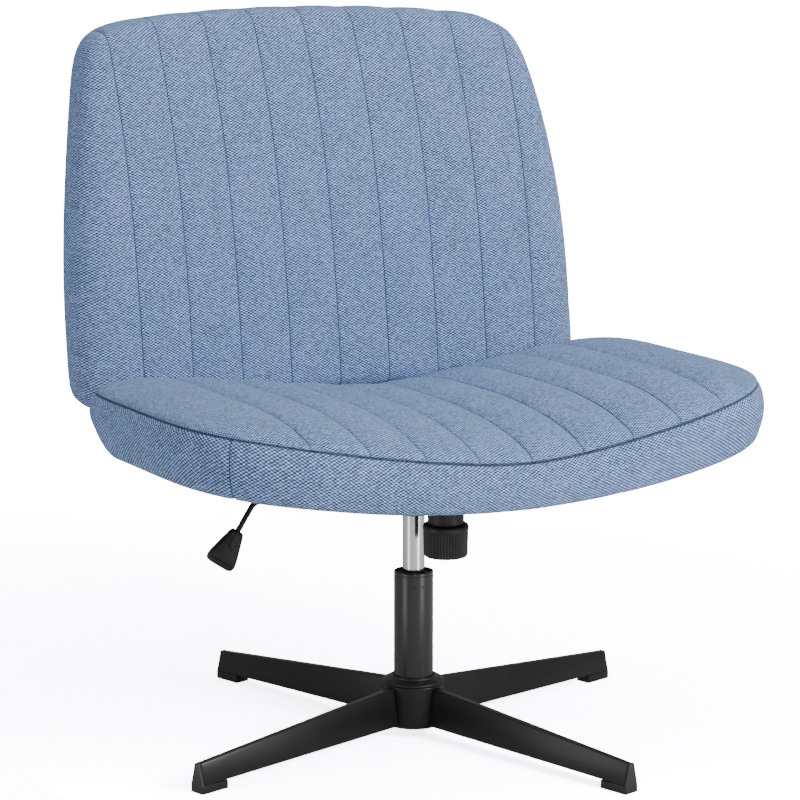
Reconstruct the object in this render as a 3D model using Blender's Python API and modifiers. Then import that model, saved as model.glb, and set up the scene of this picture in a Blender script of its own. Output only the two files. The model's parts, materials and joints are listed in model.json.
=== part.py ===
"""Armless swivel office chair: wide saddle seat and curved back on a four-leg steel base with a gas lift.

The frame is in metres with +Z up. Its origin is on the swivel axis at floor level and the sitter faces -Y,
so -X is the sitter's right. The base stands turned under the seat, as a swivel chair's base may.
"""
import math

import bmesh
import bpy
from mathutils import Matrix, Vector

# ---------------------------------------------------------------- driving dimensions
GAP = 0.0003                    # clearance between touching pieces
SMALL_GAP = 0.0006
GLUE_GAP = 0.0012               # between two curved sheets, whose facets don't quite run together
ROUND_STEPS = 30                # facets of a large round piece
BOLT_STEPS = 10                 # facets of a fastener

# base
LEG_COUNT = 4
LEG_FIRST_ANGLE = 16.0          # degrees from +X to the first leg
LEG_REACH = 0.3644              # swivel axis to the outer face of a foot
LEG_SHEET = 0.002
LEG_ROOT_TOP = 0.0643
LEG_ROOT_BOTTOM = 0.0165
LEG_TIP_TOP = 0.0367
FOOT_HEIGHT = 0.010
FOOT_LENGTH = 0.040
FOOT_WALL = 0.003
LEG_HALF_BOTTOM = 0.0105
LEG_HALF_TOP = 0.0038
LEG_SHOULDER = 0.0025           # height of the folded edge above which a leg's top is flat
LEG_SHOULDER_OUT = 0.0012
HUB_RADIUS = 0.0395
HUB_BOTTOM = 0.012
HUB_TOP = 0.0665
COLLAR_TOP = 0.0755

# gas lift
TUBE_RADIUS = 0.025
TUBE_BORE = 0.0232
TUBE_BOTTOM = 0.0145
TUBE_FLOOR = 0.0175
TUBE_TOP = 0.2100
CYLINDER_RADIUS = 0.014
CYLINDER_BOTTOM = 0.105
CYLINDER_TOP = 0.3105
BUSH_BOTTOM = 0.150
ROD_RADIUS = 0.005
ROD_BOTTOM = 0.0095
ROD_TOP = 0.195
ROD_GROOVE = 0.001              # depth of the retaining clip's groove
ROD_GROOVE_BOTTOM = 0.0110
ROD_GROOVE_TOP = 0.0125
BEARING_WASHER = 0.0015
BEARING_CAGE = 0.0040
BUFFER_RADIUS = 0.010
BUFFER_HEIGHT = 0.0118
BUTTON_RADIUS = 0.004
BUTTON_TOP = 0.3170

# tilt mechanism
SOCKET_RADIUS = 0.021
SOCKET_BOTTOM = 0.283
HOUSING_FLOOR = 0.3080
HOUSING_SHEET = 0.003
HOUSING_TOP = 0.338
HOUSING_HALF_WIDTH = 0.040
HOUSING_FRONT = -0.108
HOUSING_REAR = 0.052
AXLE_Y = 0.022
AXLE_Z = 0.325
AXLE_RADIUS = 0.005
EAR_INNER = 0.0425
EAR_SHEET = 0.003
EAR_RADIUS = 0.012
PLATE_TOP = 0.3482
PLATE_SHEET = 0.003
PLATE_HALF_WIDTH = 0.088
PLATE_FRONT = -0.125
PLATE_REAR = 0.085
TENSION_Y = -0.081
SPRING_RADIUS = 0.0155
SPRING_WIRE = 0.0021
SPRING_TURNS = 5
SPRING_POINTS = 14              # per turn
SLEEVE_BORE = 0.0062
SLEEVE_WALL = 0.0018
SLEEVE_RADIUS = 0.0225
SLEEVE_BOTTOM = 0.284
KNOB_RADIUS = 0.0285
KNOB_BOTTOM = 0.245
KNOB_TOP = 0.286
KNOB_RIBS = 24
KNOB_RIB_DEPTH = 0.0010
NUT_RADIUS = 0.0095
TENSION_SHAFT = 0.0047
LEVER_Z = 0.3208
LEVER_PIVOT_X = -0.0385
LEVER_RADIUS = 0.0035
LEVER_BEND_X = -0.2150
LEVER_BEND_RADIUS = 0.014
LEVER_SLOPE = 56.0              # degrees that the rod's end drops
LEVER_END = 0.048               # straight length beyond the bend
BALL_RADIUS = 0.0072
BALL_HALF_LENGTH = 0.0060

# seat
SEAT_HALF_WIDTH = 0.396
SEAT_CENTRE_Y = -0.0375
SEAT_FRONT_DEPTH = 0.250        # from the centre line of the plan to the front seam
SEAT_REAR_DEPTH = 0.2065
SEAT_FRONT_SQUARENESS = 4.2     # exponents of the plan's two half superellipses
SEAT_REAR_SQUARENESS = 5.3
SEAM_Z = 0.398                  # height of the seam at the middle of the front edge
SADDLE_RISE = 0.0678            # how much higher the seam is towards the sides
SADDLE_POWER = 1.32
SADDLE_SAG = 0.0063             # how much of that it loses again at the very sides
SADDLE_LEVEL = 0.15             # softens the curve's lowest point
CROWN = 0.047                   # height of the top above its seam
BORDER_HEIGHT = 0.0575          # at the middle of the front
BORDER_GROWTH = 0.0096          # how much higher the border is at the sides
BORDER_END = 0.0040              # what the strip gains towards the seat's ends
BORDER_REAR = 0.0495            # its height at the rear, where the brackets pass under it
BORDER_BULGE = 0.007
BOARD_FLAT_RISE = 0.0075        # level of the board's flat middle on the saddle curve
BOARD_BOTTOM = 0.3425
BOARD_SHEET = 0.012
COVER_SHEET = 0.0012
BOARD_INSET = 0.0205

# back
BACK_Z = 0.420                  # height that the back's profile is measured from
BACK_Y = 0.190                  # front face there
BACK_HALF_WIDTH = 0.3617
BACK_TAPER = 0.356
BACK_TAPER_START = 0.081        # height above which the back narrows
BACK_TOP_SQUARENESS = 12.0
BACK_LOW_SQUARENESS = 20.0
BACK_ARCH = 0.18                # curvature of the top edge
BACK_TOP = 0.480                # above BACK_Z
BACK_BOTTOM = -0.010
BACK_HOLLOW = 0.2134            # curvature that brings the sides forward
BACK_ROLL = 4.75                # curvature that rolls the outer edges back again
BACK_ROLL_START = 0.285
BACK_DEPTH = 0.0645
BACK_BOARD_FRONT = 0.0520
BACK_BOARD_SHEET = 0.010
BRACKET_X = 0.065
BRACKET_WIDTH = 0.040
BRACKET_SHEET = 0.006
BRACKET_FRONT = 0.100
BRACKET_TOP = 0.590
BRACKET_BEND = 0.016
BRACKET_LEAN = 0.1290           # slope of the upright leg

SEAT_BOLTS = [(-0.066, -0.108), (0.066, -0.108), (-0.066, 0.066), (0.066, 0.066)]
BRACKET_SEAT_BOLTS = (0.116, 0.144)
BRACKET_BACK_BOLTS = (0.500, 0.565)
BOLT_SHAFT = 0.003
BOLT_HEAD = 0.0065
BOLT_HEAD_HEIGHT = 0.004
BOLT_REACH = 0.0160


# ---------------------------------------------------------------- scene, collections, materials
for old in list(bpy.data.objects):
    bpy.data.objects.remove(old, do_unlink=True)

PARTS = bpy.data.collections.new("swivel_office_chair")
CUTTERS = bpy.data.collections.new("cutters")
bpy.context.scene.collection.children.link(PARTS)
bpy.context.scene.collection.children.link(CUTTERS)

FINISHES = {
    "blue_fabric": ((0.16, 0.27, 0.45), 0.95, 0.0),
    "black_cover": ((0.02, 0.02, 0.022), 0.95, 0.0),
    "plywood": ((0.55, 0.38, 0.21), 0.7, 0.0),
    "black_steel": ((0.012, 0.012, 0.013), 0.42, 0.3),
    "black_tube": ((0.012, 0.012, 0.013), 0.3, 0.3),
    "chrome": ((0.78, 0.79, 0.8), 0.12, 1.0),
    "zinc_steel": ((0.55, 0.56, 0.58), 0.35, 1.0),
    "spring_steel": ((0.1, 0.1, 0.11), 0.4, 0.8),
    "black_plastic": ((0.015, 0.015, 0.016), 0.5, 0.0),
    "nylon": ((0.75, 0.74, 0.7), 0.5, 0.0),
    "rubber": ((0.02, 0.02, 0.02), 0.8, 0.0),
}


def material(slot, node):
    """A Principled material of its own for one node, with the finish of its slot."""
    colour, roughness, metallic = FINISHES[slot]
    made = bpy.data.materials.new(node + "_" + slot)
    made.use_nodes = True
    shader = made.node_tree.nodes["Principled BSDF"]
    shader.inputs["Base Color"].default_value = (*colour, 1.0)
    shader.inputs["Roughness"].default_value = roughness
    shader.inputs["Metallic"].default_value = metallic
    return made


def add_part(node, mesh, slot):
    """Put a mesh into the parts collection as one named sub-part."""
    made = bpy.data.objects.new(node, mesh)
    PARTS.objects.link(made)
    mesh.materials.clear()
    mesh.materials.append(material(slot, node))
    return made


def add_cutter(name, mesh):
    """A Boolean cutter, hidden from the build."""
    made = bpy.data.objects.new(name, mesh)
    CUTTERS.objects.link(made)
    made.hide_render = True
    made.display_type = "WIRE"
    return made


def cut(target, cutter):
    """Take the cutter's volume out of the target."""
    step = target.modifiers.new("cut_" + cutter.name, "BOOLEAN")
    step.operation = "DIFFERENCE"
    step.object = cutter


def smooth(mesh, angle=35.0):
    """Shade a round mesh smooth and keep its real edges sharp."""
    mesh.shade_smooth()
    mesh.set_sharp_from_angle(angle=math.radians(angle))


# ---------------------------------------------------------------- mesh makers
def mesh_from(bm, name):
    """Finish a bmesh with its faces pointing out."""
    bmesh.ops.recalc_face_normals(bm, faces=bm.faces)
    mesh = bpy.data.meshes.new(name)
    bm.to_mesh(mesh)
    bm.free()
    return mesh


def box_mesh(name, low, high):
    """A box between two corners."""
    bm = bmesh.new()
    size = [high[i] - low[i] for i in range(3)]
    middle = [(high[i] + low[i]) / 2 for i in range(3)]
    bmesh.ops.create_cube(bm, size=1.0)
    bmesh.ops.scale(bm, vec=size, verts=bm.verts)
    bmesh.ops.translate(bm, vec=middle, verts=bm.verts)
    return mesh_from(bm, name)


def cylinder_mesh(name, radius, start, end, steps=BOLT_STEPS):
    """A plain cylinder between two points."""
    start, end = Vector(start), Vector(end)
    along = end - start
    place = Matrix.Translation((start + end) / 2) @ along.to_track_quat("Z", "Y").to_matrix().to_4x4()
    bm = bmesh.new()
    bmesh.ops.create_cone(bm, cap_ends=True, segments=steps, radius1=radius, radius2=radius,
                          depth=along.length, matrix=place)
    return mesh_from(bm, name)


def turned(node, slot, profile, closed=False, steps=ROUND_STEPS, at=(0, 0, 0)):
    """A turned piece: a profile of (radius, height) from the top down its outer side, swept by a Screw."""
    bm = bmesh.new()
    points = [bm.verts.new((radius, 0, height)) for radius, height in profile]
    for first, second in zip(points, points[1:]):
        bm.edges.new((first, second))
    if closed:
        bm.edges.new((points[-1], points[0]))
    mesh = bpy.data.meshes.new(node)
    bm.to_mesh(mesh)
    bm.free()
    made = add_part(node, mesh, slot)
    made.location = at
    screw = made.modifiers.new("turn", "SCREW")
    screw.angle = math.tau
    screw.steps = steps
    screw.render_steps = steps
    screw.use_merge_vertices = True
    screw.merge_threshold = 0.00001
    screw.use_smooth_shade = True
    return made


def ring(node, slot, inner, outer, bottom, top, steps=ROUND_STEPS, at=(0, 0, 0)):
    """A plain ring or tube."""
    profile = [(inner, top), (outer, top), (outer, bottom), (inner, bottom)]
    return turned(node, slot, profile, closed=True, steps=steps, at=at)


def loft_mesh(name, rings, start_pole=None, end_pole=None):
    """A skin through closed rings of equal length, closed at each end by a fan to a pole or by a flat face.

    Each panel is split along the diagonal from its inner ring to its outer one, so two surfaces made from the
    same rings stay parallel whichever way they were built.
    """
    bm = bmesh.new()
    rows = [[bm.verts.new(point) for point in row] for row in rings]
    count = len(rows[0])
    widths = [max(point[0] for point in row) for row in rings]
    for k, (lower, upper) in enumerate(zip(rows, rows[1:])):
        outward = widths[k + 1] >= widths[k]
        for i in range(count):
            j = (i + 1) % count
            if outward:
                bm.faces.new((lower[i], lower[j], upper[j]))
                bm.faces.new((lower[i], upper[j], upper[i]))
            else:
                bm.faces.new((lower[i], lower[j], upper[i]))
                bm.faces.new((lower[j], upper[j], upper[i]))
    for row, pole in ((rows[0], start_pole), (rows[-1], end_pole)):
        if pole is None:
            bm.faces.new(row)
            continue
        tip = bm.verts.new(pole)
        for i in range(count):
            bm.faces.new((row[i], row[(i + 1) % count], tip))
    return mesh_from(bm, name)


def prism_mesh(name, outline, axis, low, high):
    """A flat plate: an outline in the plane across one axis, extruded from low to high along it."""
    bm = bmesh.new()
    others = [i for i in range(3) if i != axis]
    corners = []
    for point in outline:
        place = [0.0, 0.0, 0.0]
        place[axis] = low
        place[others[0]], place[others[1]] = point
        corners.append(bm.verts.new(place))
    face = bm.faces.new(corners)
    moved = bmesh.ops.extrude_face_region(bm, geom=[face])["geom"]
    shift = [0.0, 0.0, 0.0]
    shift[axis] = high - low
    bmesh.ops.translate(bm, vec=shift, verts=[v for v in moved if isinstance(v, bmesh.types.BMVert)])
    return mesh_from(bm, name)


def tube_mesh(name, points, radius, sides_level=2):
    """A bent round bar along a list of points, made from a curve and welded into one closed mesh."""
    curve = bpy.data.curves.new(name, "CURVE")
    curve.dimensions = "3D"
    curve.bevel_depth = radius
    curve.bevel_resolution = sides_level
    curve.use_fill_caps = True
    spline = curve.splines.new("POLY")
    spline.points.add(len(points) - 1)
    for slot, point in zip(spline.points, points):
        slot.co = (*point, 1.0)
    guide = bpy.data.objects.new(name + "_guide", curve)
    CUTTERS.objects.link(guide)
    evaluated = guide.evaluated_get(bpy.context.evaluated_depsgraph_get())
    mesh = bpy.data.meshes.new_from_object(evaluated)
    bpy.data.objects.remove(guide, do_unlink=True)
    bm = bmesh.new()
    bm.from_mesh(mesh)
    bmesh.ops.remove_doubles(bm, verts=bm.verts, dist=0.00001)
    return mesh_from(bm, name)


def arc(centre, radius, first, last, steps):
    """Points of a circular arc in a plane, by angles in degrees."""
    angles = [math.radians(first + (last - first) * i / steps) for i in range(steps + 1)]
    return [(centre[0] + radius * math.cos(a), centre[1] + radius * math.sin(a)) for a in angles]


# ---------------------------------------------------------------- base
def leg_section(radius, half_bottom, half_top, bottom, top):
    """Outer corners of a leg's trapezoid section, open below, at a distance from the swivel axis."""
    shoulder = top - LEG_SHOULDER
    half_shoulder = half_top + LEG_SHOULDER_OUT
    return [(radius, -half_bottom, bottom), (radius, -half_shoulder, shoulder), (radius, -half_top, top),
            (radius, half_top, top), (radius, half_shoulder, shoulder), (radius, half_bottom, bottom)]


def turn_about_z(piece, degrees):
    """Turn a finished piece about the swivel axis."""
    piece.rotation_euler = (0.0, 0.0, math.radians(degrees))


def make_leg(number, degrees):
    """A folded sheet-steel leg, deep at the hub and low at the tip, open along its underside."""
    root = leg_section(HUB_RADIUS + SMALL_GAP, LEG_HALF_BOTTOM + 0.0015, LEG_HALF_TOP + 0.0005,
                       LEG_ROOT_BOTTOM, LEG_ROOT_TOP)
    tip = leg_section(LEG_REACH - FOOT_WALL - GAP, LEG_HALF_BOTTOM, LEG_HALF_TOP,
                      FOOT_HEIGHT + GAP, LEG_TIP_TOP)
    bm = bmesh.new()
    rows = [[bm.verts.new(point) for point in row] for row in (root, tip)]
    for i in range(len(root) - 1):
        bm.faces.new((rows[0][i], rows[0][i + 1], rows[1][i + 1], rows[1][i]))
    mesh = mesh_from(bm, "leg")
    leg = add_part(f"leg_{number}", mesh, "black_steel")
    sheet = leg.modifiers.new("sheet", "SOLIDIFY")
    sheet.thickness = LEG_SHEET
    sheet.offset = -1.0 if mesh.polygons[2].normal.z > 0 else 1.0
    turn_about_z(leg, degrees)


def make_foot(number, degrees):
    """The plastic end cap: an end wall, a plug inside the leg and a pad that stands on the floor."""
    inner = LEG_REACH - FOOT_LENGTH
    wall = LEG_REACH - FOOT_WALL
    half = LEG_HALF_BOTTOM
    plug = half - LEG_SHEET - 0.0012
    pad = box_mesh("pad", (inner, -half, 0.0), (LEG_REACH, half, FOOT_HEIGHT))
    foot = add_part(f"foot_{number}", pad, "black_plastic")
    section = [(-half, FOOT_HEIGHT - 0.001), (half, FOOT_HEIGHT - 0.001),
               (LEG_HALF_TOP, LEG_TIP_TOP), (-LEG_HALF_TOP, LEG_TIP_TOP)]
    plug_top = LEG_TIP_TOP - 0.009
    plug_section = [(-plug, FOOT_HEIGHT - 0.001), (plug, FOOT_HEIGHT - 0.001),
                    (plug * 0.45, plug_top), (-plug * 0.45, plug_top)]
    for name, outline, low, high in (("end", section, wall, LEG_REACH),
                                     ("plug", plug_section, inner + 0.006, wall + 0.001)):
        helper = add_cutter(f"foot_{number}_{name}", prism_mesh(name, outline, 0, low, high))
        turn_about_z(helper, degrees)
        join = foot.modifiers.new("join_" + name, "BOOLEAN")
        join.operation = "UNION"
        join.object = helper
    turn_about_z(foot, degrees)


def make_base():
    """Four legs with end caps around a hub that holds the gas lift's outer tube."""
    for index in range(LEG_COUNT):
        degrees = LEG_FIRST_ANGLE + 360.0 / LEG_COUNT * index
        make_leg(index + 1, degrees)
        make_foot(index + 1, degrees)
    bore = TUBE_RADIUS + GAP
    turned("hub", "black_steel", [
        (bore, HUB_TOP), (HUB_RADIUS - 0.0015, HUB_TOP), (HUB_RADIUS, HUB_TOP - 0.0015),
        (HUB_RADIUS, HUB_BOTTOM + 0.004), (HUB_RADIUS - 0.004, HUB_BOTTOM), (bore, HUB_BOTTOM)],
        closed=True, steps=36)
    rim = HUB_RADIUS - 0.0005
    foot_of_collar = HUB_TOP + GAP
    turned("hub_collar", "black_plastic", [
        (bore + 0.0022, COLLAR_TOP), (bore + 0.0035, COLLAR_TOP), (rim - 0.004, COLLAR_TOP - 0.0036),
        (rim, foot_of_collar + 0.002), (rim, foot_of_collar), (bore, foot_of_collar),
        (bore, COLLAR_TOP - 0.003), (bore + 0.0022, COLLAR_TOP - 0.003)], closed=True, steps=36)


# ---------------------------------------------------------------- gas lift
def make_gas_lift():
    """Outer tube on the base, rod and bearing that swivel in it, and the cylinder that slides on the rod."""
    rod_hole = ROD_RADIUS + 0.001
    turned("column_tube", "black_tube", [
        (TUBE_BORE, TUBE_TOP), (TUBE_RADIUS - 0.0008, TUBE_TOP), (TUBE_RADIUS, TUBE_TOP - 0.0008),
        (TUBE_RADIUS, TUBE_BOTTOM), (rod_hole, TUBE_BOTTOM), (rod_hole, TUBE_FLOOR),
        (TUBE_BORE, TUBE_FLOOR)], closed=True, steps=36)
    ring("guide_bush", "black_plastic", CYLINDER_RADIUS + GAP, TUBE_BORE - GAP, BUSH_BOTTOM, TUBE_TOP - 0.003)
    washer = TUBE_BORE - 0.003
    rod_fit = ROD_RADIUS + GAP
    level = TUBE_FLOOR + GAP
    for node, slot, inner, outer, height in (
            ("bearing_lower_washer", "zinc_steel", rod_hole, washer, BEARING_WASHER),
            ("bearing_cage", "zinc_steel", rod_hole, washer - 0.001, BEARING_CAGE),
            ("bearing_upper_washer", "zinc_steel", rod_fit, washer, BEARING_WASHER),
            ("lift_buffer", "rubber", rod_fit, BUFFER_RADIUS, BUFFER_HEIGHT)):
        ring(node, slot, inner, outer, level, level + height)
        level += height + GAP
    groove = ROD_RADIUS - ROD_GROOVE
    turned("gas_rod", "zinc_steel", [
        (0.0, ROD_TOP), (ROD_RADIUS - 0.001, ROD_TOP), (ROD_RADIUS, ROD_TOP - 0.001),
        (ROD_RADIUS, ROD_GROOVE_TOP), (groove, ROD_GROOVE_TOP), (groove, ROD_GROOVE_BOTTOM),
        (ROD_RADIUS, ROD_GROOVE_BOTTOM), (ROD_RADIUS, ROD_BOTTOM), (0.0, ROD_BOTTOM)], steps=20)
    ring("retaining_clip", "zinc_steel", groove + GAP, rod_hole + 0.0028,
         ROD_GROOVE_BOTTOM + GAP, ROD_GROOVE_TOP - GAP, steps=20)
    bore = ROD_RADIUS + 0.0005
    blind = CYLINDER_TOP - 0.040
    turned("lift_cylinder", "chrome", [
        (0.0, CYLINDER_TOP - 0.006), (BUTTON_RADIUS + GAP, CYLINDER_TOP - 0.006),
        (BUTTON_RADIUS + GAP, CYLINDER_TOP), (CYLINDER_RADIUS - 0.0015, CYLINDER_TOP),
        (CYLINDER_RADIUS - 0.0008, CYLINDER_TOP - 0.002), (CYLINDER_RADIUS, CYLINDER_TOP - 0.030),
        (CYLINDER_RADIUS, CYLINDER_BOTTOM + 0.001), (CYLINDER_RADIUS - 0.001, CYLINDER_BOTTOM),
        (bore, CYLINDER_BOTTOM), (bore, blind), (0.0, blind)])
    turned("release_button", "zinc_steel", [
        (0.0, BUTTON_TOP), (BUTTON_RADIUS - 0.0008, BUTTON_TOP), (BUTTON_RADIUS, BUTTON_TOP - 0.0008),
        (BUTTON_RADIUS, CYLINDER_TOP - GAP), (0.0, CYLINDER_TOP - GAP)], steps=20)


# ---------------------------------------------------------------- tilt mechanism
def make_housing():
    """The pressed channel that sits on the gas lift, open above, with its holes."""
    low = (-HOUSING_HALF_WIDTH, HOUSING_FRONT, HOUSING_FLOOR)
    high = (HOUSING_HALF_WIDTH, HOUSING_REAR, HOUSING_TOP)
    bm = bmesh.new()
    bm.from_mesh(box_mesh("channel", low, high))
    lids = [face for face in bm.faces if face.normal.z > 0.5]
    bmesh.ops.delete(bm, geom=lids, context="FACES_ONLY")
    mesh = bpy.data.meshes.new("channel")
    bm.to_mesh(mesh)
    bm.free()
    housing = add_part("tilt_housing", mesh, "black_steel")
    sheet = housing.modifiers.new("sheet", "SOLIDIFY")
    sheet.thickness = HOUSING_SHEET
    sheet.offset = -1.0
    sheet.use_even_offset = True
    floor_low, floor_high = HOUSING_FLOOR - 0.002, HOUSING_FLOOR + HOUSING_SHEET + 0.002
    wide = HOUSING_HALF_WIDTH + 0.002
    lever_hole = LEVER_PIVOT_X - 0.004
    holes = (
        ("socket_hole", CYLINDER_RADIUS + 0.0012, (0, 0, floor_low), (0, 0, floor_high), ROUND_STEPS),
        ("spring_bolt_hole", SLEEVE_BORE, (0, TENSION_Y, floor_low), (0, TENSION_Y, floor_high), 20),
        ("axle_hole", AXLE_RADIUS + GAP, (-wide, AXLE_Y, AXLE_Z), (wide, AXLE_Y, AXLE_Z), 24),
        ("lever_hole", 0.0076, (lever_hole, 0, LEVER_Z), (lever_hole + 0.010, 0, LEVER_Z), 28),
    )
    for name, radius, start, end, steps in holes:
        cut(housing, add_cutter(name, cylinder_mesh(name, radius, start, end, steps)))


def make_seat_plate():
    """The steel plate under the seat board, with two ears that turn on the axle."""
    rear, front = PLATE_REAR, PLATE_FRONT
    plate_low = PLATE_TOP - PLATE_SHEET
    corner = 0.014
    outline = []
    for x, y, first in ((PLATE_HALF_WIDTH, rear, 0), (-PLATE_HALF_WIDTH, rear, 90),
                        (-PLATE_HALF_WIDTH, front, 180), (PLATE_HALF_WIDTH, front, 270)):
        centre = (x - math.copysign(corner, x), y - math.copysign(corner, y))
        outline += arc(centre, corner, first, first + 90, 4)
    plate = add_part("seat_plate", prism_mesh("seat_plate", outline, 2, plate_low, PLATE_TOP), "black_steel")
    ear_top = plate_low + 0.001
    ear_outline = [*arc((AXLE_Y, AXLE_Z), EAR_RADIUS, 180, 360, 10),
                   (AXLE_Y + EAR_RADIUS, ear_top), (AXLE_Y - EAR_RADIUS, ear_top)]
    for side in (-1, 1):
        inner, outer = side * EAR_INNER, side * (EAR_INNER + EAR_SHEET)
        join = plate.modifiers.new("ear", "BOOLEAN")
        join.operation = "UNION"
        join.object = add_cutter(f"ear_{side}", prism_mesh("ear", ear_outline, 0, inner, outer))
    wide = EAR_INNER + EAR_SHEET + 0.002
    cut(plate, add_cutter("ear_holes", cylinder_mesh(
        "ear_holes", AXLE_RADIUS + 0.0012, (-wide, AXLE_Y, AXLE_Z), (wide, AXLE_Y, AXLE_Z), 24)))
    slot_half, slot_front, slot_rear = 0.0060, TENSION_Y - 0.0125, TENSION_Y + 0.0065
    below, above = plate_low - 0.002, PLATE_TOP + 0.002
    cut(plate, add_cutter("tension_slot", box_mesh(
        "tension_slot", (-slot_half, slot_front, below), (slot_half, slot_rear, above))))
    for number, (x, y) in enumerate(SEAT_BOLTS, 1):
        cut(plate, add_cutter(f"plate_hole_{number}", cylinder_mesh(
            "plate_hole", BOLT_SHAFT + GAP, (x, y, below), (x, y, above))))


def make_mechanism():
    """Tilt housing, its axle and bushes, and the socket that grips the gas lift."""
    turned("taper_socket", "black_steel", [
        (CYLINDER_RADIUS + GAP, HOUSING_FLOOR - GAP), (SOCKET_RADIUS, HOUSING_FLOOR - GAP),
        (SOCKET_RADIUS, SOCKET_BOTTOM + 0.0015), (SOCKET_RADIUS - 0.0015, SOCKET_BOTTOM),
        (CYLINDER_RADIUS + GAP, SOCKET_BOTTOM)], closed=True)
    make_housing()
    make_seat_plate()
    reach = EAR_INNER + EAR_SHEET + 0.0045
    axle = add_part("tilt_axle", cylinder_mesh(
        "tilt_axle", AXLE_RADIUS, (-reach, AXLE_Y, AXLE_Z), (reach, AXLE_Y, AXLE_Z), 24), "zinc_steel")
    smooth(axle.data)
    for side, name in ((-1, "axle_ring_right"), (1, "axle_ring_left")):
        clip = ring(name, "zinc_steel", AXLE_RADIUS + GAP, AXLE_RADIUS + 0.003, -0.0006, 0.0006, steps=20)
        clip.location = (side * (reach - 0.0018), AXLE_Y, AXLE_Z)
        clip.rotation_euler = (0, math.radians(90), 0)
    for side, name in ((-1, "pivot_bush_right"), (1, "pivot_bush_left")):
        bush = ring(name, "nylon", AXLE_RADIUS + GAP, AXLE_RADIUS + 0.0010, -0.0014, 0.0014, steps=20)
        bush.location = (side * (EAR_INNER + EAR_SHEET / 2), AXLE_Y, AXLE_Z)
        bush.rotation_euler = (0, math.radians(90), 0)


def make_tension():
    """The rocking spring in its sleeve, its bolt and nut, and the ribbed knob that loads it."""
    at = (0, TENSION_Y, 0)
    under_floor = HOUSING_FLOOR - GAP
    inside = SLEEVE_RADIUS - SLEEVE_WALL
    ceiling = under_floor - SLEEVE_WALL
    turned("spring_sleeve", "black_plastic", [
        (SLEEVE_BORE, under_floor), (SLEEVE_RADIUS, under_floor), (SLEEVE_RADIUS, SLEEVE_BOTTOM),
        (inside, SLEEVE_BOTTOM), (inside, ceiling), (SLEEVE_BORE, ceiling)], closed=True, at=at)
    top = ceiling - GAP - SPRING_WIRE
    washer_top = KNOB_BOTTOM + 0.0120
    bottom = washer_top + GAP + SPRING_WIRE
    total = SPRING_TURNS * SPRING_POINTS
    points = []
    for i in range(total + 1):
        angle = math.tau * i / SPRING_POINTS
        points.append((SPRING_RADIUS * math.cos(angle), TENSION_Y + SPRING_RADIUS * math.sin(angle),
                       bottom + (top - bottom) * i / total))
    coil = add_part("tension_spring", tube_mesh("tension_spring", points, SPRING_WIRE, 1), "spring_steel")
    smooth(coil.data, 60)
    shaft = TENSION_SHAFT
    ring("spring_washer", "zinc_steel", shaft + 0.0005, SLEEVE_RADIUS - 0.0035,
         washer_top - 0.0015, washer_top, at=at)
    shaft_end = KNOB_BOTTOM + 0.0066
    head_low = PLATE_TOP + SMALL_GAP
    turned("tension_bolt", "zinc_steel", [
        (0.0, head_low + 0.0065), (0.0075, head_low + 0.0065), (0.0085, head_low + 0.0055),
        (0.0085, head_low + 0.0030), (shaft, head_low), (shaft, shaft_end), (0.0, shaft_end)],
        steps=20, at=at)
    nut = add_part("tension_nut", cylinder_mesh(
        "tension_nut", NUT_RADIUS, (0, TENSION_Y, KNOB_BOTTOM + 0.0030),
        (0, TENSION_Y, KNOB_BOTTOM + 0.0100), 6), "zinc_steel")
    cut(nut, add_cutter("nut_thread", cylinder_mesh(
        "nut_thread", shaft + GAP, (0, TENSION_Y, KNOB_BOTTOM), (0, TENSION_Y, KNOB_BOTTOM + 0.012), 20)))
    make_knob(washer_top - 0.0015 - GAP)


def make_knob(shelf):
    """The cup-shaped knob: ribs outside, a cavity for sleeve and spring, and a pocket for the nut."""
    count = KNOB_RIBS * 4
    rings = []
    heights = ((KNOB_BOTTOM, 0.0040, 0.0), (KNOB_BOTTOM + 0.0035, 0.0, 1.0),
               (KNOB_TOP - 0.0030, 0.0, 1.0), (KNOB_TOP, 0.0018, 0.0))
    for height, inset, depth in heights:
        row = []
        for i in range(count):
            angle = math.tau * i / count
            groove = KNOB_RIB_DEPTH * depth if i % 4 in (0, 1) else 0.0
            radius = KNOB_RADIUS - inset - groove
            row.append((radius * math.cos(angle), radius * math.sin(angle) + TENSION_Y, height))
        rings.append(row)
    knob = add_part("tension_knob", loft_mesh("tension_knob", rings), "black_plastic")
    cavity = SLEEVE_RADIUS + 0.0012
    hollow = add_cutter("knob_cavity", cylinder_mesh(
        "knob_cavity", cavity, (0, TENSION_Y, shelf), (0, TENSION_Y, KNOB_TOP + 0.004), ROUND_STEPS))
    pocket_floor = (0, TENSION_Y, KNOB_BOTTOM + 0.0027)
    pocket = add_cutter("knob_pocket", cylinder_mesh(
        "knob_pocket", NUT_RADIUS + GAP, pocket_floor, (0, TENSION_Y, shelf + 0.001), 6))
    cut(knob, hollow)
    cut(knob, pocket)
    smooth(knob.data, 25)


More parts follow.
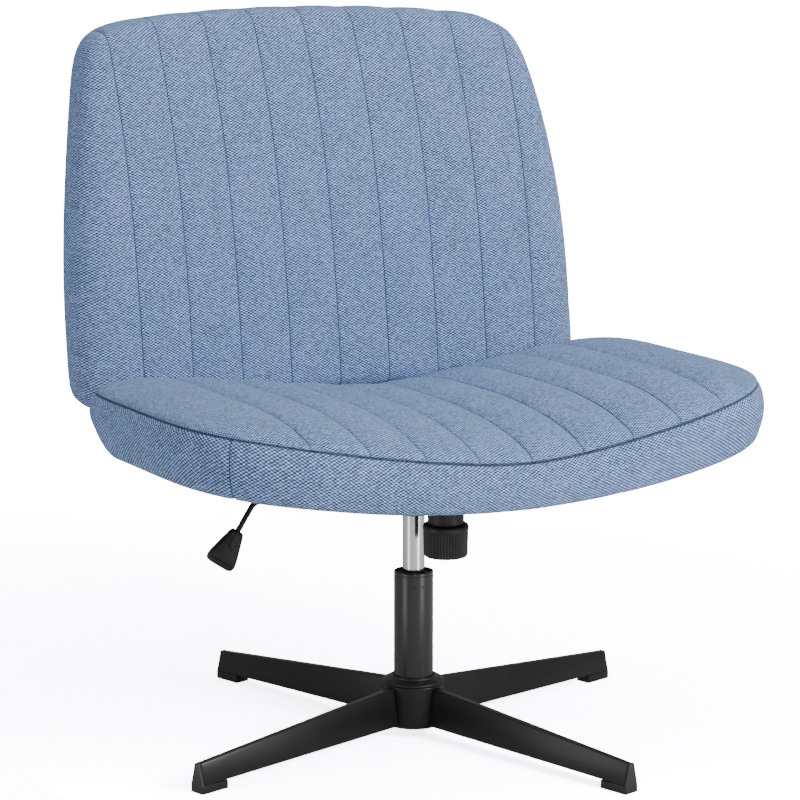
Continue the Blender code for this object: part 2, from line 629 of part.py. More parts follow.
def make_lever():
    """The height lever: a bent rod in a ball bush, reaching over the release button, with a paddle grip."""
    bore = LEVER_RADIUS + GAP
    flat = math.degrees(math.acos(BALL_HALF_LENGTH / BALL_RADIUS))
    outer = [(point[1], point[0]) for point in arc((0, 0), BALL_RADIUS, flat, 180 - flat, 12)]
    profile = [(bore, BALL_HALF_LENGTH), *outer, (bore, -BALL_HALF_LENGTH)]
    bush = turned("lever_bush", "nylon", profile, closed=True, steps=24)
    bush.location = (LEVER_PIVOT_X, 0, LEVER_Z)
    bush.rotation_euler = (0, math.radians(90), 0)

    rod = [(x, 0, LEVER_Z) for x in (0.022, -0.03, -0.09, -0.15)]
    below = (LEVER_BEND_X, LEVER_Z - LEVER_BEND_RADIUS)
    rod += [(x, 0, z) for x, z in arc(below, LEVER_BEND_RADIUS, 90, 90 + LEVER_SLOPE, 6)]
    slope = math.radians(LEVER_SLOPE)
    along = Vector((-math.cos(slope), 0, -math.sin(slope)))
    corner = Vector(rod[-1])
    rod.append(tuple(corner + along * LEVER_END))
    lever = add_part("lever_rod", tube_mesh("lever_rod", rod, LEVER_RADIUS, 3), "black_steel")
    smooth(lever.data, 40)

    thick = Vector((0, 1, 0))
    across = along.cross(thick)
    start = corner + along * 0.0325
    rings = []
    # distance along the grip, half its width, half its thickness
    stations = ((0.0, 0.0074, 0.0050), (0.002, 0.0090, 0.0060), (0.010, 0.0114, 0.0068),
                (0.022, 0.0152, 0.0074), (0.034, 0.0188, 0.0076), (0.042, 0.0203, 0.0070),
                (0.0465, 0.0194, 0.0056), (0.049, 0.0164, 0.0032))
    for distance, half_width, half_thick in stations:
        row = []
        for i in range(16):
            angle = math.tau * i / 16
            c, s = math.cos(angle), math.sin(angle)
            wide = half_width * math.copysign(abs(c) ** 0.7, c)
            deep = half_thick * math.copysign(abs(s) ** 0.7, s)
            row.append(tuple(start + along * distance + across * wide + thick * deep))
        rings.append(row)
    grip = add_part("lever_grip", loft_mesh("lever_grip", rings), "black_plastic")
    smooth(grip.data, 40)
    hole_end = corner + along * (LEVER_END + SMALL_GAP)
    cut(grip, add_cutter("grip_hole", cylinder_mesh(
        "grip_hole", bore, tuple(corner + along * 0.028), tuple(hole_end), 24)))


# ---------------------------------------------------------------- seat
PLAN_STEPS = 40
SHEET_SCALES = (0.3, 0.6, 0.85, 1.0)   # rings shared by a sheet and the recess around it


def plan_point(angle, inset=0.0):
    """A point of the seat's plan outline, moved inwards by an inset."""
    c, s = math.cos(angle), math.sin(angle)
    power = 2.0 / (SEAT_REAR_SQUARENESS if s > 0 else SEAT_FRONT_SQUARENESS)
    depth = SEAT_REAR_DEPTH if s > 0 else SEAT_FRONT_DEPTH
    x = (SEAT_HALF_WIDTH - inset) * math.copysign(abs(c) ** power, c)
    y = (depth - inset) * math.copysign(abs(s) ** power, s)
    return x, y


def saddle(x):
    """How far the seam has risen at a distance from the seat's middle, level across the very middle."""
    level = SADDLE_LEVEL ** SADDLE_POWER
    across = x / SEAT_HALF_WIDTH
    spread = math.hypot(across, SADDLE_LEVEL)
    return SADDLE_RISE * (spread ** SADDLE_POWER - level) - SADDLE_SAG * across ** 6


def board_rise(x):
    """The board's level: flat in the middle, then with the saddle."""
    return (saddle(x) ** 4 + BOARD_FLAT_RISE ** 4) ** 0.25


def smoothstep(value):
    """A smooth rise from 0 to 1 as a value does the same."""
    part = min(1.0, max(0.0, value))
    return part * part * (3 - 2 * part)


def border_height(x, y):
    """The border strip's height: more at the sides, less at the rear, where the brackets pass under it."""
    height = BORDER_HEIGHT + BORDER_GROWTH * smoothstep(abs(x) / SEAT_HALF_WIDTH / 0.6)
    height += BORDER_END * smoothstep((abs(x) / SEAT_HALF_WIDTH - 0.5) / 0.4)
    return height + (BORDER_REAR - height) * smoothstep((y - 0.03) / 0.08)


def plan_ring(inset, height, scale=1.0):
    """One ring of a seat piece: a shrunk plan outline, with its height as a function of x and y."""
    row = []
    for i in range(PLAN_STEPS):
        x, y = plan_point(math.tau * i / PLAN_STEPS, inset)
        x, y = x * scale, y * scale + SEAT_CENTRE_Y
        row.append((x, y, height(x, y)))
    return row


def crown_ring(scale):
    """One ring of the seat's crowned top."""
    rise = CROWN * (1 - scale ** 2.25) ** 0.55
    return plan_ring(0.0, lambda x, y: SEAM_Z + saddle(x) + rise, scale)


def centre(height):
    """The middle point of a seat surface."""
    return (0.0, SEAT_CENTRE_Y, height)


def make_seat_cushion():
    """Foam and cover in one solid: crowned top, upright border, and a recess below for the board."""
    rings = [crown_ring(scale) for scale in (0.3, 0.6, 0.8, 0.92, 0.975)]
    rings.append(plan_ring(0.0, lambda x, y: SEAM_Z + saddle(x)))
    rim = BOARD_INSET - SMALL_GAP
    for inset, share in ((-0.0045, 0.175), (-BORDER_BULGE, 0.42), (-0.0055, 0.68), (-0.0002, 0.87),
                         (0.0100, 1.0), (rim, 1.0)):
        rings.append(plan_ring(
            inset, lambda x, y, share=share: SEAM_Z + saddle(x) - share * border_height(x, y)))
    ceiling = BOARD_BOTTOM + BOARD_SHEET + GLUE_GAP
    for scale in reversed(SHEET_SCALES):
        rings.append(plan_ring(rim, lambda x, y: ceiling + board_rise(x), scale))
    mesh = loft_mesh("seat_cushion", rings, centre(SEAM_Z + CROWN), centre(ceiling + BOARD_FLAT_RISE))
    smooth(mesh, 50)
    add_part("seat_cushion", mesh, "blue_fabric")


def curved_sheet(node, slot, low, high):
    """A sheet in the seat's plan that follows the board's curve."""
    rings = [plan_ring(BOARD_INSET, lambda x, y: low + board_rise(x), scale) for scale in SHEET_SCALES]
    for scale in reversed(SHEET_SCALES):
        rings.append(plan_ring(BOARD_INSET, lambda x, y: high + board_rise(x), scale))
    mesh = loft_mesh(node, rings, centre(low + BOARD_FLAT_RISE), centre(high + BOARD_FLAT_RISE))
    smooth(mesh, 40)
    return add_part(node, mesh, slot)


def make_seat():
    """Cushion, moulded plywood board, dust cover and the bolts that hold the steel plate."""
    make_seat_cushion()
    board = curved_sheet("seat_board", "plywood", BOARD_BOTTOM, BOARD_BOTTOM + BOARD_SHEET)
    cover = curved_sheet("dust_cover", "black_cover", BOARD_BOTTOM - GAP - COVER_SHEET, BOARD_BOTTOM - GAP)
    low, high = 0.33, 0.38
    holes = [(x, y, BOLT_SHAFT + GAP, BOLT_STEPS) for x, y in SEAT_BOLTS]
    for side in (-1, 1):
        holes += [(side * BRACKET_X, y, BOLT_SHAFT + GAP, BOLT_STEPS) for y in BRACKET_SEAT_BOLTS]
    holes.append((0.0, TENSION_Y - 0.003, 0.0175, 24))
    for number, (x, y, radius, steps) in enumerate(holes, 1):
        drill = cylinder_mesh("seat_hole", radius, (x, y, low), (x, y, high), steps)
        cutter = add_cutter(f"seat_hole_{number}", drill)
        cut(board, cutter)
        cut(cover, cutter)
    for number, (x, y) in enumerate(SEAT_BOLTS, 1):
        make_bolt(f"seat_bolt_{number}", (x, y, PLATE_TOP - PLATE_SHEET - GAP), (0, 0, 1), 0.0140)


def make_bolt(node, at, direction, length):
    """A hex-head bolt whose head rests on a surface at a point, its shaft running on along a direction."""
    along = Vector(direction).normalized()
    at = Vector(at)
    mesh = cylinder_mesh(node, BOLT_HEAD, at - along * BOLT_HEAD_HEIGHT, at, 6)
    bolt = add_part(node, mesh, "zinc_steel")
    shaft = add_cutter(node + "_shaft", cylinder_mesh(
        "shaft", BOLT_SHAFT, at - along * 0.001, at + along * length, BOLT_STEPS))
    join = bolt.modifiers.new("shaft", "BOOLEAN")
    join.operation = "UNION"
    join.object = shaft


# ---------------------------------------------------------------- back
BACK_STEPS = 40


def back_front(x, h):
    """The front face: leaning more towards the top, hollow across, its outer edges rolled back."""
    rolled = BACK_ROLL * max(0.0, abs(x) - BACK_ROLL_START) ** 2
    return BACK_Y + 0.0975 * h + 0.025 * h * h + 0.548 * h ** 3 - BACK_HOLLOW * x * x + rolled


def back_half_width(h):
    """Half the back's width: even below, narrowing above."""
    return BACK_HALF_WIDTH - BACK_TAPER * max(0.0, h - BACK_TAPER_START) ** 2


def back_outline(angle, inset=0.0):
    """A point of the back's outline as (x, h): a rounded panel with an arched top edge."""
    c, s = math.cos(angle), math.sin(angle)
    middle = (BACK_TOP + BACK_BOTTOM) / 2
    half_height = (BACK_TOP - BACK_BOTTOM) / 2 - inset
    power = 2.0 / (BACK_TOP_SQUARENESS if s > 0 else BACK_LOW_SQUARENESS)
    share = math.copysign(abs(s) ** power, s)
    h = middle + half_height * share
    x = (back_half_width(h) - inset) * math.copysign(abs(c) ** power, c)
    return x, h - BACK_ARCH * x * x * max(0.0, share)


def back_ring(inset, depth, scale=1.0):
    """One ring of a back piece, at a depth behind the front face."""
    row = []
    middle = (BACK_TOP + BACK_BOTTOM) / 2
    for i in range(BACK_STEPS):
        x, h = back_outline(math.tau * i / BACK_STEPS, inset)
        x, h = x * scale, middle + (h - middle) * scale
        row.append((x, back_front(x, h) + depth, BACK_Z + h))
    return row


def back_centre(depth):
    """The middle point of a surface of the back."""
    h = (BACK_TOP + BACK_BOTTOM) / 2
    return (0.0, back_front(0.0, h) + depth, BACK_Z + h)


def back_sheet(node, slot, depth, thickness):
    """A sheet that follows the back's curve inside its rear rim."""
    front = [back_ring(BOARD_INSET, depth, scale) for scale in SHEET_SCALES]
    rear = [back_ring(BOARD_INSET, depth + thickness, scale) for scale in reversed(SHEET_SCALES)]
    mesh = loft_mesh(node, front + rear, back_centre(depth), back_centre(depth + thickness))
    smooth(mesh, 40)
    return add_part(node, mesh, slot)


def make_bracket(side, name):
    """An L-shaped flat bar from under the seat board up behind the back."""
    inner = side * (BRACKET_X - BRACKET_WIDTH / 2)
    outer = side * (BRACKET_X + BRACKET_WIDTH / 2)
    top_z = PLATE_TOP
    low_z = top_z - BRACKET_SHEET
    bend = BRACKET_BEND
    foot_y = back_front(BRACKET_X - BRACKET_WIDTH / 2, 0.0) + BACK_DEPTH + 3 * GAP

    def front(z):
        """Front face of the upright leg."""
        return foot_y + BRACKET_LEAN * (z - BACK_Z)

    inside = (front(top_z + bend) - bend, top_z + bend)
    tilt = math.degrees(math.atan(BRACKET_LEAN))
    outline = [(BRACKET_FRONT, top_z)]
    outline += arc(inside, bend, -90, -tilt, 6)
    outline += [(front(BRACKET_TOP), BRACKET_TOP), (front(BRACKET_TOP) + BRACKET_SHEET, BRACKET_TOP)]
    outline += arc(inside, bend + BRACKET_SHEET, -tilt, -90, 6)
    outline.append((BRACKET_FRONT, low_z))
    bar = add_part(name, prism_mesh(name, outline, 0, inner, outer), "black_steel")
    x = side * BRACKET_X
    for number, y in enumerate(BRACKET_SEAT_BOLTS, 1):
        cut(bar, add_cutter(f"{name}_low_hole_{number}", cylinder_mesh(
            "hole", BOLT_SHAFT + GAP, (x, y, low_z - 0.003), (x, y, top_z + 0.003))))
        make_bolt(f"{name}_seat_bolt_{number}", (x, y, low_z - GAP), (0, 0, 1), BOLT_REACH)
    normal = Vector((0, -1, BRACKET_LEAN)).normalized()
    for number, z in enumerate(BRACKET_BACK_BOLTS, 1):
        face = Vector((x, front(z) - BRACKET_SHEET / normal.y, z))
        hole = add_cutter(f"{name}_high_hole_{number}", cylinder_mesh(
            "hole", BOLT_SHAFT + GAP, tuple(face - normal * 0.003), tuple(face + normal * 0.0205)))
        cut(bar, hole)
        for sheet in (bpy.data.objects["back_board"], bpy.data.objects["rear_cover"]):
            cut(sheet, hole)
        make_bolt(f"{name}_back_bolt_{number}", tuple(face - normal * GAP), tuple(normal), BOLT_REACH)


def make_back():
    """Cushion, curved plywood panel, rear cover and the two brackets that carry them."""
    rings = [back_ring(0.0, 0.0, scale) for scale in (0.3, 0.6, 0.82)]
    for inset, depth in ((0.022, 0.0005), (0.010, 0.0032), (0.003, 0.0095), (0.0, 0.0191), (0.0, 0.0460),
                         (0.003, 0.0570), (0.010, BACK_DEPTH)):
        rings.append(back_ring(inset, depth))
    rim = BOARD_INSET - SMALL_GAP
    rings.append(back_ring(rim, BACK_DEPTH))
    pocket = BACK_BOARD_FRONT - GLUE_GAP
    for scale in reversed(SHEET_SCALES):
        rings.append(back_ring(rim, pocket, scale))
    mesh = loft_mesh("back_cushion", rings, back_centre(0.0), back_centre(pocket))
    smooth(mesh, 50)
    add_part("back_cushion", mesh, "blue_fabric")
    back_sheet("back_board", "plywood", BACK_BOARD_FRONT, BACK_BOARD_SHEET)
    cover_front = BACK_BOARD_FRONT + BACK_BOARD_SHEET + GAP
    back_sheet("rear_cover", "blue_fabric", cover_front, BACK_DEPTH - cover_front)
    make_bracket(-1, "back_bracket_right")
    make_bracket(1, "back_bracket_left")


make_base()
make_gas_lift()
make_mechanism()
make_tension()
make_lever()
make_seat()
make_back()
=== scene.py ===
"""Looks of the swivel office chair: upholstery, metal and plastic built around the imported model.

Metres, +Z up, the sitter faces -Y. The seat and the back are each one skin of cloth panels, swollen by a
cloth simulation that is held at the stitched lines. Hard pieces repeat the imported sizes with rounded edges.
"""

import json
import math

import bmesh
import bpy
import numpy as np
from mathutils import Matrix, Vector
from mathutils.kdtree import KDTree


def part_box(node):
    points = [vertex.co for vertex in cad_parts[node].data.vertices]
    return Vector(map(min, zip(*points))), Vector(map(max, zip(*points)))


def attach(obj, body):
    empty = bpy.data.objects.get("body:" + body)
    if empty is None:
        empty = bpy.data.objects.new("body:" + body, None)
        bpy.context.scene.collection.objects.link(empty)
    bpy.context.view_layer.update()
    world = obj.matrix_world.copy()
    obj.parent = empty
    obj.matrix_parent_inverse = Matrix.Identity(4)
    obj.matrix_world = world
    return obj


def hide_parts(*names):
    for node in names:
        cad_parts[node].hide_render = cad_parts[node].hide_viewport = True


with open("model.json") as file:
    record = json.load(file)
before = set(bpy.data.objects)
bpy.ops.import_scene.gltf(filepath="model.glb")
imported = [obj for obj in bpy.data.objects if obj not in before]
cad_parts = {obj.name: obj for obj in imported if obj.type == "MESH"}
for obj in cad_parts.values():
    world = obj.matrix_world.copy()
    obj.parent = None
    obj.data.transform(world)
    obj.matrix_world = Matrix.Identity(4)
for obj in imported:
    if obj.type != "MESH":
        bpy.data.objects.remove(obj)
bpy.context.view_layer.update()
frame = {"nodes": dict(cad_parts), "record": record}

# ---------------------------------------------------------------- camera and light
CAMERA_AZIMUTH = 29.0           # degrees that the camera stands round to the sitter's right of the front
CAMERA_ELEVATION = 10.24
CAMERA_DISTANCE = 3.682
CAMERA_LENS = 133.0             # on a 36 mm sensor
CAMERA_AIM = (-0.0171, 0.4274)  # across the view from the swivel axis, and above the floor

# ---------------------------------------------------------------- upholstery
CELL = (0.00305, 0.00174)       # one crossing of the weave, across and along the cloth
SEAT_PITCH = 0.0705             # between the seat's stitched lines
BACK_PITCH = 0.0715
LAST_LINE = 4                   # lines on each side of the middle one
LINE_OFFSETS = (0.0007, 0.0017, 0.0032, 0.0055, 0.0090, 0.0140, 0.0205, 0.0280)
SIM_VOXEL = 0.006
SIM_PRESSURE = 4.0
SIM_FRAMES = 20
SIM_STIFFNESS = 12.0
SIM_BENDING = 0.6
HELD_HALF_WIDTH = 0.0040        # the simulation doesn't move cloth this close to a stitched line
SEAT_SWELLING = 0.007           # the most that a cover may move
BACK_SWELLING = 0.005
UNSEWN = 0.01                   # distance to stitching that is given to cloth with none near it
STITCH_PITCH = 0.0046
STITCH_LENGTH = 0.0031
STITCH_RADIUS = 0.00038


def smoothstep(low, high, value):
    """0 below low, 1 above high, and a smooth rise between them."""
    part = np.clip((np.asarray(value, float) - low) / (high - low), 0.0, 1.0)
    return part * part * (3 - 2 * part)


# ---------------------------------------------------------------- shader helpers
def add(tree, kind, values=None, **settings):
    """A shader node with its settings and its inputs, each a number, a tuple or another node's socket."""
    node = tree.nodes.new("ShaderNode" + kind)
    for key, value in settings.items():
        setattr(node, key, value)
    for key, value in (values or {}).items():
        if isinstance(value, bpy.types.NodeSocket):
            tree.links.new(value, node.inputs[key])
        else:
            node.inputs[key].default_value = value
    return node


def calc(tree, operation, *values):
    """A Math node's result."""
    return add(tree, "Math", dict(enumerate(values)), operation=operation).outputs[0]


def mix(tree, factor, first, second):
    """A colour mix's result."""
    return add(tree, "Mix", {0: factor, 6: first, 7: second}, data_type="RGBA").outputs[2]


def step(tree, low, high, value):
    """A smooth step from 0 at low to 1 at high."""
    return add(tree, "MapRange", {"Value": value, "From Min": low, "From Max": high},
               interpolation_type="SMOOTHSTEP").outputs[0]


def noise(tree, where, scale, detail=2.0):
    """A noise texture's value."""
    return add(tree, "TexNoise", {"Vector": where, "Scale": scale, "Detail": detail}).outputs[0]


def stretched(tree, where, scale):
    """Coordinates scaled by a factor for each axis."""
    return add(tree, "Mapping", {"Vector": where, "Scale": scale}).outputs[0]


def scaled(tree, value, amount, base):
    """A value times an amount, plus a base."""
    return calc(tree, "MULTIPLY_ADD", value, amount, base)


def bumpy(tree, shader, height, strength, distance):
    """Relief on a shader from a height texture."""
    bump = add(tree, "Bump", {"Height": height, "Strength": strength, "Distance": distance})
    tree.links.new(bump.outputs[0], shader.inputs["Normal"])


def new_material(name, **sockets):
    """A material with a Principled shader, and its node tree."""
    made = bpy.data.materials.new(name)
    made.use_nodes = True
    tree = made.node_tree
    shader = tree.nodes["Principled BSDF"]
    for key, value in sockets.items():
        shader.inputs[key.replace("_", " ")].default_value = value
    return made, tree, shader


def rgb(red, green, blue):
    """A colour with full alpha."""
    return (red, green, blue, 1.0)


# ---------------------------------------------------------------- materials
def woven_fabric(name, dark, middle, light, thread):
    """Heathered weave along the cloth, from the mesh's own cloth coordinates, with stitched lines drawn dark:
    the thread's colour plus painted shade in their creases.
    """
    made, tree, shader = new_material(name, Roughness=0.92, Sheen_Weight=0.04, Sheen_Roughness=0.45,
                                      Specular_IOR_Level=0.25)
    cloth, sewn = (add(tree, "Attribute", attribute_name=layer, attribute_type="GEOMETRY").outputs[output]
                   for layer, output in (("cloth", "Vector"), ("sewn", "Fac")))
    wander = scaled(tree, noise(tree, cloth, 160.0), 0.0016, -0.0008)
    parts = add(tree, "SeparateXYZ", {0: cloth}).outputs
    places = [calc(tree, "DIVIDE", calc(tree, "ADD", parts[k], wander), size) for k, size in enumerate(CELL)]
    waves = [calc(tree, "COSINE", calc(tree, "MULTIPLY", place, math.pi)) for place in places]
    crossing = calc(tree, "MULTIPLY", *waves)
    numbers = [calc(tree, "FLOOR", calc(tree, "ADD", place, 0.5)) for place in places]
    cell = add(tree, "CombineXYZ", dict(enumerate(numbers))).outputs[0]
    yarn = add(tree, "TexWhiteNoise", {"Vector": cell}, noise_dimensions="3D").outputs["Value"]
    fleck = noise(tree, stretched(tree, cloth, (0.35, 1.0, 1.0)), 900.0, 1.0)
    cloudy = noise(tree, cloth, 14.0, 3.0)
    level = crossing
    for texture, amount in ((yarn, 0.70), (fleck, 1.3), (cloudy, 0.35)):
        level = calc(tree, "ADD", level, scaled(tree, texture, amount, -amount / 2))
    lower = mix(tree, step(tree, -0.85, 0.05, level), dark, middle)
    colour = mix(tree, step(tree, 0.0, 0.72, level), lower, light)
    hue = add(tree, "HueSaturation", {"Hue": scaled(tree, cloudy, 0.05, 0.475), "Color": colour,
                                      "Saturation": scaled(tree, yarn, 0.3, 0.85)}).outputs[0]
    # Painted shade: within about a millimetre of any stitching the weave turns to the thread colour, which
    # stands for both the thread and the shade in the stitched crease.
    line = calc(tree, "SUBTRACT", 1.0, step(tree, 0.0003, 0.0010, sewn))
    thread_and_shade_mask = calc(tree, "MULTIPLY", line, scaled(tree, yarn, 0.45, 0.55))
    tree.links.new(mix(tree, thread_and_shade_mask, hue, thread), shader.inputs["Base Color"])
    bumpy(tree, shader, scaled(tree, fleck, 0.5, crossing), 0.55, 0.0006)
    tree.links.new(scaled(tree, yarn, 0.14, 0.82), shader.inputs["Roughness"])
    return made


def plain_finish(name, colour, roughness, grain=900.0, bump=0.00004, tint=0.25, **sockets):
    """Paint, plastic or rubber: fine texture, and patches of slightly different gloss and colour."""
    made, tree, shader = new_material(name, **sockets)
    where = add(tree, "TexCoord").outputs["Object"]
    fine = noise(tree, where, grain, 3.0)
    broad = noise(tree, where, 22.0, 3.0)
    tree.links.new(scaled(tree, broad, 0.08, roughness - 0.04), shader.inputs["Roughness"])
    darker, lighter = (rgb(*[channel * (1 + change) for channel in colour]) for change in (-tint, tint))
    tree.links.new(mix(tree, broad, darker, lighter), shader.inputs["Base Color"])
    bumpy(tree, shader, fine, 0.5, bump)
    return made


def brushed_metal(name, colour, roughness, spread=0.12):
    """Bare or plated metal with fine lines round it."""
    made, tree, shader = new_material(name, Metallic=1.0)
    where = add(tree, "TexCoord").outputs["Object"]
    lines = noise(tree, stretched(tree, where, (30.0, 30.0, 900.0)), 1.0, 4.0)
    tree.links.new(scaled(tree, lines, spread, roughness - spread / 2), shader.inputs["Roughness"])
    shade = rgb(*[channel * 0.86 for channel in colour])
    tree.links.new(mix(tree, lines, shade, rgb(*colour)), shader.inputs["Base Color"])
    bumpy(tree, shader, lines, 0.15, 0.00002)
    return made


def plywood(name):
    """Moulded plywood with layers along its edge."""
    made, tree, shader = new_material(name, Roughness=0.7)
    where = add(tree, "TexCoord").outputs["Object"]
    grain = noise(tree, stretched(tree, where, (6.0, 90.0, 500.0)), 1.0, 4.0)
    colour = mix(tree, grain, rgb(0.36, 0.22, 0.11), rgb(0.62, 0.44, 0.26))
    tree.links.new(colour, shader.inputs["Base Color"])
    return made


def felt(name):
    """Thin black non-woven cloth with its grid of pressed dots."""
    made, tree, shader = new_material(name, Roughness=0.95, Sheen_Weight=0.15, Specular_IOR_Level=0.2)
    where = add(tree, "TexCoord").outputs["Object"]
    dots = add(tree, "TexVoronoi", {"Vector": where, "Scale": 380.0, "Randomness": 0.25}).outputs["Distance"]
    fibres = noise(tree, where, 700.0, 4.0)
    colour = mix(tree, fibres, rgb(0.008, 0.008, 0.009), rgb(0.035, 0.035, 0.038))
    tree.links.new(colour, shader.inputs["Base Color"])
    bumpy(tree, shader, calc(tree, "ADD", dots, fibres), 0.5, 0.0003)
    return made


# The last colour is the stitching thread's colour, and it also serves as painted shade in the stitched
# creases.
DENIM = woven_fabric("denim_weave", rgb(0.016, 0.030, 0.082), rgb(0.116, 0.165, 0.400),
                     rgb(0.450, 0.680, 1.000), rgb(0.014, 0.024, 0.060))
POWDER = plain_finish("powder_coat", (0.0075, 0.0070, 0.0080), 0.36, grain=1400.0, bump=0.00006,
                      Specular_IOR_Level=0.34)
TUBE_PAINT = plain_finish("tube_paint", (0.010, 0.0094, 0.0104), 0.26, grain=700.0, bump=0.00002,
                          Coat_Weight=0.35, Coat_Roughness=0.16)
PLASTIC = plain_finish("moulded_plastic", (0.009, 0.009, 0.010), 0.44, grain=2200.0, bump=0.00005,
                       Specular_IOR_Level=0.4)
RUBBER = plain_finish("rubber", (0.02, 0.02, 0.021), 0.8)
NYLON = plain_finish("nylon", (0.72, 0.70, 0.64), 0.5)
THREAD = plain_finish("thread", (0.022, 0.045, 0.095), 0.8, tint=0.5)
CHROME = brushed_metal("chrome", (0.80, 0.81, 0.83), 0.16, spread=0.05)
ZINC = brushed_metal("zinc", (0.56, 0.57, 0.60), 0.36)
SPRING = brushed_metal("spring_steel", (0.16, 0.16, 0.17), 0.4)
PLYWOOD = plywood("plywood")
FELT = felt("dust_cloth")

SLOT_MATERIALS = {
    "blue_fabric": DENIM, "black_cover": FELT, "plywood": PLYWOOD, "black_steel": POWDER,
    "black_tube": TUBE_PAINT, "chrome": CHROME, "zinc_steel": ZINC, "spring_steel": SPRING,
    "black_plastic": PLASTIC, "nylon": NYLON, "rubber": RUBBER,
}


# ---------------------------------------------------------------- mesh helpers
CORNER_STEPS = 4
TUBE_STEPS = 28


def new_object(name, mesh, material, angle=None):
    """An object in the scene, smooth except at edges sharper than an angle in degrees."""
    made = bpy.data.objects.new(name, mesh)
    bpy.context.scene.collection.objects.link(made)
    mesh.materials.clear()
    mesh.materials.append(material)
    mesh.shade_smooth()
    if angle is not None:
        mesh.set_sharp_from_angle(angle=math.radians(angle))
    return made


def place(piece, body, slot, *nodes):
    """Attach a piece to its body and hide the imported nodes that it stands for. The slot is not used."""
    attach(piece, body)
    if nodes:
        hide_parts(*nodes)
    return piece


def mesh_from(bm, name):
    """Finish a bmesh with its faces pointing out."""
    bmesh.ops.recalc_face_normals(bm, faces=bm.faces)
    mesh = bpy.data.meshes.new(name)
    bm.to_mesh(mesh)
    bm.free()
    return mesh


def span(bm, rows):
    """Join each row of vertices to the next with faces, round and round."""
    for first, second in zip(rows, rows[1:]):
        for i in range(len(first)):
            j = (i + 1) % len(first)
            bm.faces.new((first[i], first[j], second[j], second[i]))


def rounded(points, radius):
    """A closed 2-D outline with its corners rounded. A corner may give its own radius as a third number."""
    out = []
    for i, point in enumerate(points):
        here = Vector(point[:2])
        size = point[2] if len(point) > 2 else radius
        before = Vector(points[i - 1][:2]) - here
        after = Vector(points[(i + 1) % len(points)][:2]) - here
        half = before.angle(after) / 2
        if size <= 0 or half > math.radians(89):
            out.append(tuple(here))
            continue
        reach = min(size / math.tan(half), before.length * 0.49, after.length * 0.49)
        size = reach * math.tan(half)
        before.normalize()
        after.normalize()
        centre = here + (before + after).normalized() * (size / math.sin(half))
        start = (here + before * reach) - centre
        turn = start.angle_signed((here + after * reach) - centre)
        for k in range(CORNER_STEPS + 1):
            c, s = math.cos(-turn * k / CORNER_STEPS), math.sin(-turn * k / CORNER_STEPS)
            out.append((centre.x + c * start.x - s * start.y, centre.y + s * start.x + c * start.y))
    return out


def loft(name, rings, material, angle):
    """A closed skin through rings of equal length."""
    bm = bmesh.new()
    rows = [[bm.verts.new(point) for point in ring] for ring in rings]
    span(bm, rows)
    bm.faces.new(rows[0])
    bm.faces.new(rows[-1])
    return new_object(name, mesh_from(bm, name), material, angle)


def tube(name, points, radius, material):
    """A bent round bar along a list of points, its first end softened."""
    points = [Vector(point) for point in points]
    rings = []
    side = None
    for i, here in enumerate(points):
        along = (points[min(i + 1, len(points) - 1)] - points[max(i - 1, 0)]).normalized()
        side = along.orthogonal() if side is None else side - along * side.dot(along)
        side.normalize()
        other = along.cross(side)
        softened = ((0.55, 0.0), (0.85, 0.0003)) if i == 0 else ()
        for scale, shift in (*softened, (1.0, 0.0)):
            turns = [math.tau * k / TUBE_STEPS for k in range(TUBE_STEPS)]
            rings.append([here + along * shift + (side * math.cos(a) + other * math.sin(a)) * radius * scale
                          for a in turns])
    return loft(name, rings, material, 50)


